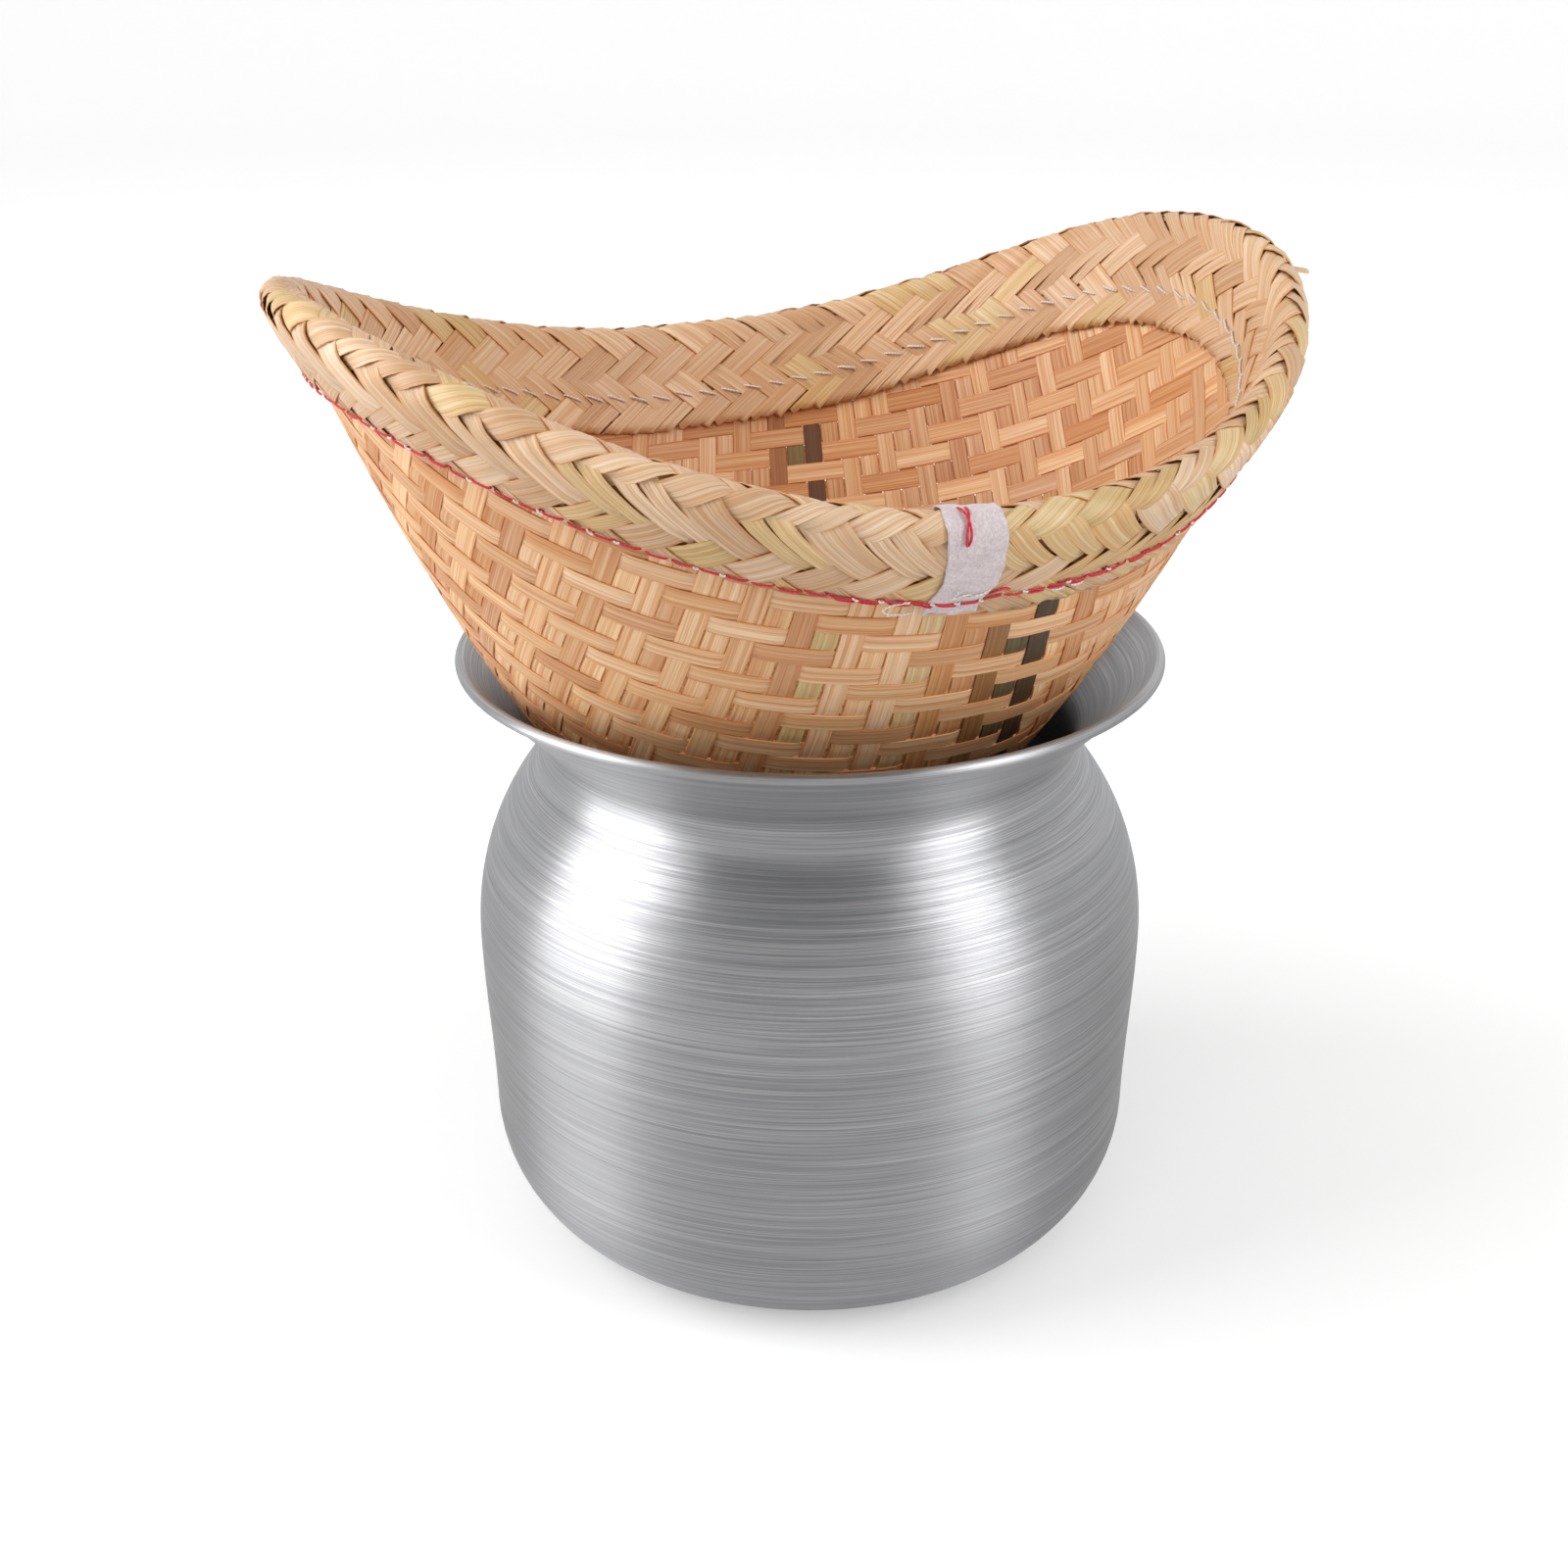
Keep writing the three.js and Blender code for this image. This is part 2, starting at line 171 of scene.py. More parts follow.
# Studio: pale floor with a swept-up back (metres), soft boxes and a plain world
studio = dict(
    floorRadius=3.2, sweepRadius=1.4, sweepHeight=3.0, sides=96, sweepSteps=12,
    # the floor glows less near the pot, where its shadow lies
    floorTone=0.72, farGlow=0.62, nearGlow=0.341, shadowFrom=0.102, shadowTo=0.612,
    mirroredFrom=1.0, mirroredTo=1.6,
    aimHeight=0.18,
    # azimuth from the camera, height and distance, then width and height of the box in metres
    boxes=dict(
        rightBox=dict(place=(59.0, 820.0, 1500.0), size=(0.7, 1.9), watts=15.0),
        leftBox=dict(place=(-78.0, 820.0, 1500.0), size=(1.15, 1.9), watts=28.0),
        frontBox=dict(place=(-12.0, 1500.0, 1500.0), size=(1.1, 0.8), watts=4.5),
    ),
    # metal shows the white room at the back and sides, and a dark room above and behind the camera
    worldLevel=0.52, darkRoom=0.02, darkFrom=-0.05, darkTo=0.7, darkPlace=(0, 760, 900),
)


def makeFloor():
    v = studio
    count = v["sides"]
    profile = [(v["floorRadius"], 0.0)]
    for i in range(1, v["sweepSteps"] + 1):
        angle = i / v["sweepSteps"] * math.pi / 2
        profile.append((v["floorRadius"] + v["sweepRadius"] * math.sin(angle),
                        v["sweepRadius"] * (1 - math.cos(angle))))
    profile.append((profile[-1][0], v["sweepHeight"]))
    turns = [2 * math.pi * j / count for j in range(count)]
    points = [(r * math.cos(a), r * math.sin(a), z) for r, z in profile for a in turns] + [(0, 0, 0)]
    faces = [(len(points) - 1, j, (j + 1) % count) for j in range(count)]
    for i in range(len(profile) - 1):
        for j in range(count):
            a, b = i * count + j, i * count + (j + 1) % count
            faces.append((a, a + count, b + count, b))
    floor = meshObject("studioFloor", points, faces)
    material = bpy.data.materials.new("paleFloor")
    tree = clearedTree(material)
    matt = newNode(tree, "ShaderNodeBsdfDiffuse", {"Color": (*[v["floorTone"]] * 3, 1)})
    away = newNode(tree, "ShaderNodeVectorMath", {0: objectPlace(tree)}, operation="LENGTH").outputs["Value"]
    lift = newNode(tree, "ShaderNodeMapRange", {
        "Value": away, "From Min": v["shadowFrom"], "From Max": v["shadowTo"],
        "To Min": v["nearGlow"], "To Max": v["farGlow"]}, interpolation_type="SMOOTHSTEP").outputs[0]
    path = tree.nodes.new("ShaderNodeLightPath").outputs
    farOff = spread(tree, away, v["mirroredFrom"], v["mirroredTo"], 0.0, 1.0)
    mirrored = math1(tree, "MULTIPLY", path["Is Glossy Ray"], farOff)
    seen = math1(tree, "MAXIMUM", path["Is Camera Ray"], path["Is Transmission Ray"])
    seen = math1(tree, "MAXIMUM", seen, mirrored)
    glow = newNode(tree, "ShaderNodeEmission", {"Strength": math1(tree, "MULTIPLY", lift, seen)})
    both = newNode(tree, "ShaderNodeAddShader", {0: matt.outputs[0], 1: glow.outputs[0]})
    newNode(tree, "ShaderNodeOutputMaterial", {0: both.outputs[0]})
    floor.data.materials.append(material)


def makeSoftBox(name, place, size, watts):
    data = bpy.data.lights.new(name, "AREA")
    data.shape = "RECTANGLE"
    data.size, data.size_y = size
    data.energy = watts
    lamp = linkedObject(name, data)
    at = aroundObject(*place)
    facing = (Vector((0, 0, studio["aimHeight"])) - at).to_track_quat("-Z", "Y")
    lamp.matrix_world = Matrix.Translation(at) @ facing.to_matrix().to_4x4()
    return lamp


def makeWorld():
    v = studio
    scene.world = bpy.data.worlds.new("studioWorld")
    tree = clearedTree(scene.world)
    path = tree.nodes.new("ShaderNodeLightPath").outputs
    direction = tree.nodes.new("ShaderNodeTexCoord").outputs["Generated"]
    dark = tuple(aroundObject(*v["darkPlace"]).normalized())
    facing = newNode(tree, "ShaderNodeVectorMath", {0: direction, 1: dark}, operation="DOT_PRODUCT")
    mirrored = spread(tree, facing.outputs["Value"], v["darkFrom"], v["darkTo"], 1.0, v["darkRoom"])
    level = newNode(tree, "ShaderNodeMix", {0: path["Is Glossy Ray"], 2: v["worldLevel"], 3: mirrored})
    plain = math1(tree, "MAXIMUM", path["Is Camera Ray"], path["Is Transmission Ray"])
    shown = newNode(tree, "ShaderNodeMix", {0: plain, 2: level.outputs[0], 3: 1.0})
    light = newNode(tree, "ShaderNodeBackground", {"Color": (1, 1, 1, 1), "Strength": shown.outputs[0]})
    newNode(tree, "ShaderNodeOutputWorld", {0: light.outputs[0]})


makeFloor()
makeWorld()
softBoxes = {name: makeSoftBox(name, **values) for name, values in studio["boxes"].items()}
softBoxes["frontBox"].visible_glossy = False
scene.view_settings.view_transform = "Standard"
print("camera and studio ready")

# Pot: the CAD profile again, revolved fine enough for a clean reflection
pot = dict(
    height=196.5, wall=1.2, mouth=110.0, bead=1.7, neck=85.0, neckDrop=29.0,
    flareFillet=9.0, shoulderFillet=15.0, shoulderAngle=39.0, belly=107.7, bellyDrop=94.6,
    heel=105.6, heelDrop=155.3, base=67.7, shoulderPull=0.35, heelPull=0.33,
    beadFrom=-0.72, beadTo=0.86,  # in half turns
    flareShares=(0.33, 0.67),
    facets=240, baseSteps=6, heelSteps=16, sideSteps=10, shoulderSteps=14, filletSteps=8, beadSteps=16,
)


def arcPoints(x, y, radiusX, radiusY, start, end, count):
    return [(x + radiusX * math.cos(a), y + radiusY * math.sin(a))
            for a in np.linspace(start, end, count + 1)]


def bezierPoints(a, b, c, d, count):
    a, b, c, d = (np.array(p) for p in (a, b, c, d))
    return [tuple((1 - t) ** 3 * a + 3 * (1 - t) ** 2 * t * b + 3 * (1 - t) * t ** 2 * c + t ** 3 * d)
            for t in np.linspace(0, 1, count + 1)]


def potProfile():
    v = pot
    across = v["mouth"] - v["bead"] - v["neck"] - v["flareFillet"]
    up = v["neckDrop"] - v["bead"]
    reach = v["flareFillet"] - v["bead"] + v["wall"]
    flare = math.asin(reach / math.hypot(across, up)) + math.atan2(across, up)
    shoulder = math.radians(v["shoulderAngle"])
    neckZ, bellyZ, heelZ = (v["height"] - v[drop] for drop in ("neckDrop", "bellyDrop", "heelDrop"))
    end = (v["neck"] + v["shoulderFillet"] * (1 - math.cos(shoulder)),
           neckZ - v["shoulderFillet"] * math.sin(shoulder))
    pull = math.dist(end, (v["belly"], bellyZ)) * v["shoulderPull"]
    heelPull = (bellyZ - heelZ) * v["heelPull"]
    foot = np.linspace(v["base"] / v["baseSteps"], v["base"], v["baseSteps"])
    outside = [(0.0, 0.0)] + [(r, 0.0) for r in foot]
    outside += arcPoints(v["base"], heelZ, v["heel"] - v["base"], heelZ, -math.pi / 2, 0, v["heelSteps"])[1:]
    outside += bezierPoints((v["heel"], heelZ), (v["heel"], heelZ + heelPull),
                            (v["belly"], bellyZ - heelPull), (v["belly"], bellyZ), v["sideSteps"])[1:]
    beforeEnd = (end[0] + pull * math.sin(shoulder), end[1] - pull * math.cos(shoulder))
    outside += bezierPoints((v["belly"], bellyZ), (v["belly"], bellyZ + pull), beforeEnd, end,
                            v["shoulderSteps"])[1:]
    outside += arcPoints(v["neck"] + v["shoulderFillet"], neckZ, v["shoulderFillet"], v["shoulderFillet"],
                         math.pi + shoulder, math.pi, v["filletSteps"])[1:]
    outside += arcPoints(v["neck"] + v["flareFillet"], neckZ, v["flareFillet"], v["flareFillet"],
                         math.pi, math.pi - flare, v["filletSteps"])[1:]
    line = np.array(outside)
    along = np.gradient(line, axis=0)
    along /= np.linalg.norm(along, axis=1)[:, None]
    inside = line + v["wall"] * np.stack([-along[:, 1], along[:, 0]], 1)
    inside[0] = (0, v["wall"])
    bead = arcPoints(v["mouth"] - v["bead"], v["height"] - v["bead"], v["bead"], v["bead"],
                     v["beadFrom"] * math.pi, v["beadTo"] * math.pi, v["beadSteps"])
    flareOut = [tuple((1 - t) * np.array(outside[-1]) + t * np.array(bead[0])) for t in v["flareShares"]]
    flareIn = [tuple((1 - t) * np.array(bead[-1]) + t * inside[-1]) for t in v["flareShares"]]
    return outside + flareOut + bead + flareIn + [tuple(p) for p in inside[::-1]]


def spinProfile(name, profile, facets):
    onAxis = np.array(profile)[:, 0] < 0.001
    rings = [p for p, closed in zip(profile, onAxis) if not closed]
    angles = np.linspace(0, 2 * math.pi, facets, endpoint=False)
    points = [(r * math.cos(a) * mm, r * math.sin(a) * mm, z * mm) for r, z in rings for a in angles]
    points += [(0, 0, profile[0][1] * mm), (0, 0, profile[-1][1] * mm)]
    first, last = len(points) - 2, len(points) - 1
    lastRing = (len(rings) - 1) * facets
    faces = []
    for j in range(facets):
        k = (j + 1) % facets
        faces.append((first, k, j))
        faces.append((last, lastRing + j, lastRing + k))
        for i in range(0, lastRing, facets):
            faces.append((i + j, i + k, i + facets + k, i + facets + j))
    thing = meshObject(name, points, faces)
    # distance along the profile, for the turning marks
    run = np.concatenate([[0], np.cumsum(np.linalg.norm(np.diff(np.array(profile), axis=0), axis=1))]) * mm
    values = np.concatenate([np.repeat(run[~onAxis], facets), [run[0], run[-1]]]).astype(np.float32)
    thing.data.attributes.new("spinRun", "FLOAT", "POINT").data.foreach_set("value", values)
    return thing


# Each noise is a scale per metre across and along the profile, its detail and its roughness.
metal = dict(
    fine=((14, 14, 3600), 4.0, 0.7), medium=((9, 9, 1900), 3.0, 0.7), broad=((9, 9, 110), 2.0, 0.5),
    scratches=((60, 60, 5200), 1.0, 0.5),
    dark=srgb(146, 147, 149), light=srgb(204, 204, 206),
    mediumTone=srgb(134, 135, 138), mediumMix=0.6, broadTone=srgb(150, 151, 155), broadMix=0.25,
    roughness=(0.36, 0.46), scratchRoughness=0.12, anisotropy=0.88, quarterTurn=0.25,
    fineBump=(0.28, 0.00012), mediumBump=(0.25, 0.0002),
)


def aluminiumMaterial():
    v = metal
    material, tree, shader = newMaterial("spunAluminium")
    split = newNode(tree, "ShaderNodeSeparateXYZ", {0: objectPlace(tree)}).outputs
    turned = newNode(tree, "ShaderNodeCombineXYZ", {0: split[0], 1: split[1], 2: stored(tree, "spinRun")})
    fine, medium, broad, scratches = (
        stretchedNoise(tree, turned.outputs[0], *v[name])
        for name in ("fine", "medium", "broad", "scratches"))
    tone = mixColors(tree, spread(tree, fine, 0.3, 0.7, 0, 1), v["dark"], v["light"])
    tone = mixColors(tree, spread(tree, medium, 0.4, 0.62, 0, v["mediumMix"]), tone, v["mediumTone"])
    tone = mixColors(tree, spread(tree, broad, 0.45, 0.7, 0, v["broadMix"]), tone, v["broadTone"])
    rough = math1(tree, "ADD", spread(tree, medium, 0.3, 0.7, *v["roughness"]),
                  spread(tree, scratches, 0.62, 0.8, 0.0, v["scratchRoughness"]))
    tangent = newNode(tree, "ShaderNodeTangent", direction_type="RADIAL", axis="Z").outputs[0]
    setInputs(tree, shader, {
        "Base Color": tone, "Metallic": 1.0, "Roughness": rough, "Anisotropic": v["anisotropy"],
        "Anisotropic Rotation": v["quarterTurn"], "Tangent": tangent})
    addBump(tree, shader, [(fine, *v["fineBump"]), (medium, *v["mediumBump"])])
    return material


spunPot = spinProfile("spun_pot", potProfile(), pot["facets"])
spunPot.data.materials.append(aluminiumMaterial())
addPiece(spunPot, "pot", "pot")
print("pot spun")

# Basket wall: turn is the angle about the axis from +X, share runs from 0 at the cone's tip to 1 at the crest
basket = dict(
    halfLength=148.0, halfWidth=127.0, rise=73.6, tipRise=44.8, depth=83.0,
    lengthBulge=0.505, widthBulge=0.61,
    shift=-5.8, seat=0.771, matWall=1.2,
    blunt=(2.0, 2.19), climb=(1.8, 2.67),  # left and right half
    turnStep=0.004, shareStep=0.004,  # radians and share between which a slope is measured
)


def wallPoint(turn, share):
    v = basket
    turn, share = np.broadcast_arrays(np.asarray(turn, float), np.asarray(share, float))
    left = np.cos(turn) < 0
    blunt = np.where(left, *v["blunt"])
    climb = np.where(left, *v["climb"])
    reach = (np.abs(np.cos(turn) / v["halfLength"]) ** blunt
             + np.abs(np.sin(turn) / v["halfWidth"]) ** blunt) ** (-1 / blunt)
    x, y = reach * np.cos(turn), reach * np.sin(turn)
    top = v["rise"] + v["tipRise"] * np.abs(x / v["halfLength"]) ** climb
    z = share * (top + v["depth"]) - v["depth"] + pot["height"] + v["seat"]
    return np.stack([x * share ** v["lengthBulge"] + v["shift"], y * share ** v["widthBulge"], z], -1)


def wallNormal(turn, share):
    turnStep, shareStep = basket["turnStep"], basket["shareStep"]
    around = wallPoint(turn + turnStep, share) - wallPoint(turn - turnStep, share)
    up = wallPoint(turn, share * (1 + shareStep)) - wallPoint(turn, share * (1 - shareStep))
    normal = np.cross(around, up)
    return normal / np.linalg.norm(normal, axis=-1, keepdims=True)


# The mat was plaited flat and rolled, so its splints run straight on the unrolled wall.
unrolled = dict(
    firstTurn=-400.0, lastTurn=320.0, stepTurn=0.5, levels=301, zeroTurn=-93.0, measuredShare=0.8,
    seamTurn=140.0, lap=11.0,
)


def unrollWall():
    v = unrolled
    turns = np.radians(np.arange(v["firstTurn"], v["lastTurn"], v["stepTurn"]))
    shares = np.linspace(0, 1, v["levels"])
    points = wallPoint(turns[:, None], shares[None, :])
    slant = np.linalg.norm(np.diff(points, axis=1), axis=-1)
    rho = np.concatenate([np.zeros((len(turns), 1)), np.cumsum(slant, axis=1)], 1)
    ring = int(round(v["measuredShare"] * (v["levels"] - 1)))
    around = np.linalg.norm(np.diff(points[:, ring], axis=0), axis=-1)
    climb = np.diff(rho[:, ring])
    fan = np.sqrt(np.maximum(around ** 2 - climb ** 2, 0)) / ((rho[1:, ring] + rho[:-1, ring]) / 2)
    theta = np.concatenate([[0], np.cumsum(fan)])
    theta -= np.interp(math.radians(v["zeroTurn"]), turns, theta)
    return turns, shares, rho, theta


wallTurns, wallShares, wallRho, wallTheta = unrollWall()


def rolledUp(x, y):
    rho, angle = np.hypot(x, y), np.arctan2(x, y)
    turn = np.interp(angle, wallTheta, wallTurns)
    place = (turn - wallTurns[0]) / (wallTurns[1] - wallTurns[0])
    row = np.clip(place.astype(int), 0, len(wallTurns) - 2)
    part = np.clip(place - row, 0, 1)
    share = np.empty_like(rho)
    crest = np.empty_like(rho)
    for i in range(len(rho)):
        line = wallRho[row[i]] * (1 - part[i]) + wallRho[row[i] + 1] * part[i]
        share[i] = np.interp(rho[i], line, wallShares)
        crest[i] = line[-1]
    return turn, share, crest - rho, angle


# Lattice of the plait on the unrolled mat, in cells: columns of uprights, rows of crossers.
plait = dict(
    columnRate=0.14472, columnDrift=-5.7e-5, columnStart=-0.3256, backRate=0.01683, backFrom=67.0,
    rowPitch=6.46, rowTop=169.42, rowDrift=-0.00524, driftFrom=8,
    sag=64.97, sagReach=204.4, sagCentre=-38.8,
    splay=0.001426, splayFrom=123.3, splaySoft=40.0, lean=-0.0384, leanFrom=120.0, fittingRounds=14,
    columns=(-36, 48), rows=(-8, 62), places=(-330.0, 420.0),
    # floats of three lie level round the cone, so the pattern changes over at the side
    repeat=6, float=3, sideStart=3, frontStart=5, turnover=-13.0,
    middle=-0.62, sway=0.25, swellRow=0.16, swellColumn=0.08, stepsPerCell=4,
    splintWidth=6.3, splintThickness=0.42, splintEdge=0.16, topGap=4.0,
    # free of the cone's tip, and laid under where the mat's two sides lap
    tipRadius=1.2, seamRadius=25.0, lapSink=0.95, lapSlope=4.0, shortestRun=4,
)


def columnAt(x):
    v = plait
    return (v["columnRate"] * x + v["columnDrift"] * x * x + v["columnStart"]
            + v["backRate"] * np.maximum(x - v["backFrom"], 0))


columnPlaces = np.arange(*plait["places"], 1.0)


def latticePlace(column, row):
    # x and y on the unrolled mat
    v = plait
    xc = np.interp(column, columnAt(columnPlaces), columnPlaces)
    yr = v["rowTop"] - (row - 0.5) * v["rowPitch"] - v["rowDrift"] * (row - v["driftFrom"]) ** 2
    x, y = xc.copy(), yr.copy()
    for _ in range(v["fittingRounds"]):
        splay = np.tanh(xc / v["splaySoft"]) * v["splay"] * np.maximum(0, v["splayFrom"] - y) ** 2
        x = 0.5 * x + 0.5 * (xc - splay + v["lean"] * (y - v["leanFrom"]))
        y = yr - v["sag"] * (np.sqrt(1 + ((x - v["sagCentre"]) / v["sagReach"]) ** 2) - 1)
    return x, y


def plaitPattern():
    # which cells show a crosser outside
    v = plait
    column, row = np.meshgrid(np.arange(*v["columns"]), np.arange(*v["rows"]), indexing="ij")
    x, y = latticePlace((column + 0.5).ravel(), (row + 0.5).ravel())
    side = np.degrees(np.interp(np.arctan2(x, y), wallTheta, wallTurns)) > v["turnover"]
    return np.where(side.reshape(column.shape),
                    np.mod(row + 2 * column + v["sideStart"], v["repeat"]) < v["float"],
                    np.mod(column - 2 * row + v["frontStart"], v["repeat"]) < v["float"])


crosserOutside = plaitPattern()


def crosserOnTop(column, row):
    c = np.clip(column - plait["columns"][0], 0, crosserOutside.shape[0] - 1)
    r = np.clip(row - plait["rows"][0], 0, crosserOutside.shape[1] - 1)
    return crosserOutside[c, r]


def smooth(t):
    t = np.clip(t, 0, 1)
    return t * t * (3 - 2 * t)


def swayAt(position, other, isRow):
    # 1 where the splint lies outside its neighbours, -1 where it lies inside, and smooth between
    cell = np.floor(position).astype(int)
    inCell = position - cell

    def outside(k):
        on = crosserOnTop(k, other) if isRow else ~crosserOnTop(other, k)
        return np.where(on, 1.0, -1.0)

    here, after, before = outside(cell), outside(cell + 1), outside(cell - 1)
    return np.where(inCell > 0.5, here + (after - here) * smooth(inCell - 0.5),
                    before + (here - before) * smooth(inCell + 0.5))


def splintRuns(isRow):
    v = plait
    lines, cells = (v["rows"], v["columns"]) if isRow else (v["columns"], v["rows"])
    steps = np.arange(*cells, 1 / v["stepsPerCell"])
    seamTurns = np.radians([unrolled["seamTurn"] - 360, unrolled["seamTurn"]])
    seamStart, seamEnd = np.interp(seamTurns, wallTurns, wallTheta)
    swell = v["swellRow"] if isRow else v["swellColumn"]

    def onMat(line):
        return latticePlace(steps, line) if isRow else latticePlace(line, steps)

    runs = []
    for k in range(lines[0], lines[1] + 1):
        line = np.full_like(steps, k + 0.5)
        x, y = onMat(line)
        turn, share, below, angle = rolledUp(x, y)
        rho = np.hypot(x, y)
        lap = (angle - seamEnd) * rho
        inside = (below > v["topGap"]) & (angle > seamStart) & (lap < unrolled["lap"])
        inside &= (rho > v["tipRadius"]) & ~((angle > seamEnd) & (rho < v["seamRadius"]))
        # neighbours on the lattice give the local pitch
        (x2, y2), (x1, y1) = onMat(line + 0.5), onMat(line - 0.5)
        pitch = np.hypot(x2 - x1, y2 - y1)
        sway = swayAt(steps, k, isRow)
        out = v["middle"] + v["sway"] * sway + swell * np.maximum(sway, 0)
        out -= v["lapSink"] * smooth(lap / v["lapSlope"] + 0.5)
        normal = wallNormal(turn, np.maximum(share, basket["shareStep"]))
        place = wallPoint(turn, share) + normal * out[:, None]
        begin = None
        for i in range(len(steps) + 1):
            if i < len(steps) and inside[i]:
                begin = i if begin is None else begin
            elif begin is not None:
                if i - begin >= v["shortestRun"]:
                    runs.append((k, place[begin:i], normal[begin:i], pitch[begin:i] / v["rowPitch"]))
                begin = None
    return runs


def pathMesh(name, runs, tints):
    # one open path a splint, each with the way it faces, its width and its tint
    points, edges, normals, widths, colours = [], [], [], [], []
    for (_, place, normal, size), tint in zip(runs, tints):
        at = len(points)
        points += [tuple(p * mm) for p in place]
        edges += [(at + i, at + i + 1) for i in range(len(place) - 1)]
        normals += list(normal)
        widths += list(size)
        colours += [(*tint, 1.0)] * len(place)
    mesh = bpy.data.meshes.new(name)
    mesh.from_pydata(points, edges, [])
    for title, kind, field, values in (
            ("faceNormal", "FLOAT_VECTOR", "vector", normals),
            ("splintWidth", "FLOAT", "value", widths),
            ("tint", "FLOAT_COLOR", "color", colours)):
        data = mesh.attributes.new(title, kind, "POINT").data
        data.foreach_set(field, np.array(values, np.float32).ravel())
    return linkedObject(name, mesh)


def beginTree(name, inputs):
    tree = bpy.data.node_groups.new(name, "GeometryNodeTree")
    tree.interface.new_socket("Geometry", in_out="OUTPUT", socket_type="NodeSocketGeometry")
    names = {}
    for title, (kind, value) in inputs.items():
        socket = tree.interface.new_socket(title, in_out="INPUT", socket_type="NodeSocket" + kind)
        if value is not None:
            socket.default_value = value
        names[title] = socket.identifier
    return tree, names, tree.nodes.new("NodeGroupInput").outputs


def named(tree, name, kind):
    return newNode(tree, "GeometryNodeInputNamedAttribute", {"Name": name}, data_type=kind).outputs[0]


def keptAs(tree, geometry, name, value):
    return newNode(tree, "GeometryNodeStoreNamedAttribute", {
        "Geometry": geometry, "Name": name, "Value": value}, data_type="FLOAT", domain="POINT").outputs[0]


def sweepAndEnd(tree, given, curves, section, sharpAbove=None):
    length = tree.nodes.new("GeometryNodeSplineParameter").outputs["Length"]
    measured = keptAs(tree, curves, "alongSplint", length)
    swept = newNode(tree, "GeometryNodeCurveToMesh", {
        "Curve": measured, "Profile Curve": section, "Scale": named(tree, "splintWidth", "FLOAT"),
        "Fill Caps": True}).outputs[0]
    shaded = newNode(tree, "GeometryNodeSetShadeSmooth", {"Geometry": swept, "Shade Smooth": True}).outputs[0]
    if sharpAbove:
        bend = tree.nodes.new("GeometryNodeInputMeshEdgeAngle").outputs[0]
        shaded = newNode(tree, "GeometryNodeSetShadeSmooth", {
            "Geometry": shaded, "Selection": math1(tree, "GREATER_THAN", bend, sharpAbove),
            "Shade Smooth": False}, domain="EDGE").outputs[0]
    whole = newNode(tree, "GeometryNodeRealizeInstances", {"Geometry": shaded}).outputs[0]
    painted = newNode(tree, "GeometryNodeSetMaterial", {"Geometry": whole, "Material": given["Finish"]})
    newNode(tree, "NodeGroupOutput", {0: painted.outputs[0]})


def splintTree():
    tree, names, given = beginTree("flatSplints", {
        "Paths": ("Geometry", None), "Width": ("Float", 0.006), "Thickness": ("Float", 0.0005),
        "Edge": ("Float", 0.0002), "Cuts across": ("Int", 0), "Finish": ("Material", None)})
    curves = newNode(tree, "GeometryNodeMeshToCurve", {"Mesh": given["Paths"]}).outputs[0]
    aimed = newNode(tree, "GeometryNodeSetCurveNormal", {
        "Curve": curves, "Normal": named(tree, "faceNormal", "FLOAT_VECTOR")}, mode="FREE").outputs[0]
    section = newNode(tree, "GeometryNodeCurvePrimitiveQuadrilateral", {
        "Width": given["Thickness"], "Height": given["Width"]}).outputs[0]
    rounded = newNode(tree, "GeometryNodeFilletCurve", {
        "Curve": section, "Radius": given["Edge"], "Count": 1, "Limit Radius": True}, mode="POLY").outputs[0]
    # only the two wide sides are cut, so that a splint can bend over the roll
    number = tree.nodes.new("GeometryNodeInputIndex").outputs[0]
    wideSide = math1(tree, "COMPARE", math1(tree, "MODULO", number, 4.0), 3.0, 0.1)
    divided = newNode(tree, "GeometryNodeSubdivideCurve", {
        "Curve": rounded, "Cuts": math1(tree, "MULTIPLY", wideSide, given["Cuts across"])}).outputs[0]
    place = tree.nodes.new("GeometryNodeInputPosition").outputs[0]
    across = newNode(tree, "ShaderNodeSeparateXYZ", {0: place}).outputs[1]
    sweepAndEnd(tree, given, aimed, keptAs(tree, divided, "acrossSplint", across), sharpAbove=0.5)
    return tree, names


def grown(thing, tree, names, values, name):
    modifier = thing.modifiers.new("build", "NODES")
    modifier.node_group = tree
    for title, value in values.items():
        modifier[names[title]] = value
    bpy.context.view_layer.update()
    graph = bpy.context.evaluated_depsgraph_get()
    mesh = bpy.data.meshes.new_from_object(thing.evaluated_get(graph))
    thing.modifiers.remove(modifier)
    bpy.data.objects.remove(thing)
    mesh.name = name
    return linkedObject(name, mesh)


# Each noise is a scale per metre, its detail and its roughness; a tone multiplies the splint's own tint.
bamboo = dict(
    fibres=((2300, 16, 1), 3.0, 0.65), broad=((900, 7, 1), 2.0, 0.5), patches=((26, 26, 26), 2.0, 0.5),
    fibreTone=(0.68, 0.46, 0.28), patchTone=(0.98, 0.85, 0.66),
    # amber along the cut edges, where light gets through
    edgeTone=(0.96, 0.66, 0.34), edgeFrom=0.86, edgeMix=0.75,
    tintShift=37.0, roughnessRange=0.2, specular=0.5,
    fibreBump=(0.7, 0.0002), broadBump=(0.5, 0.00025),
)


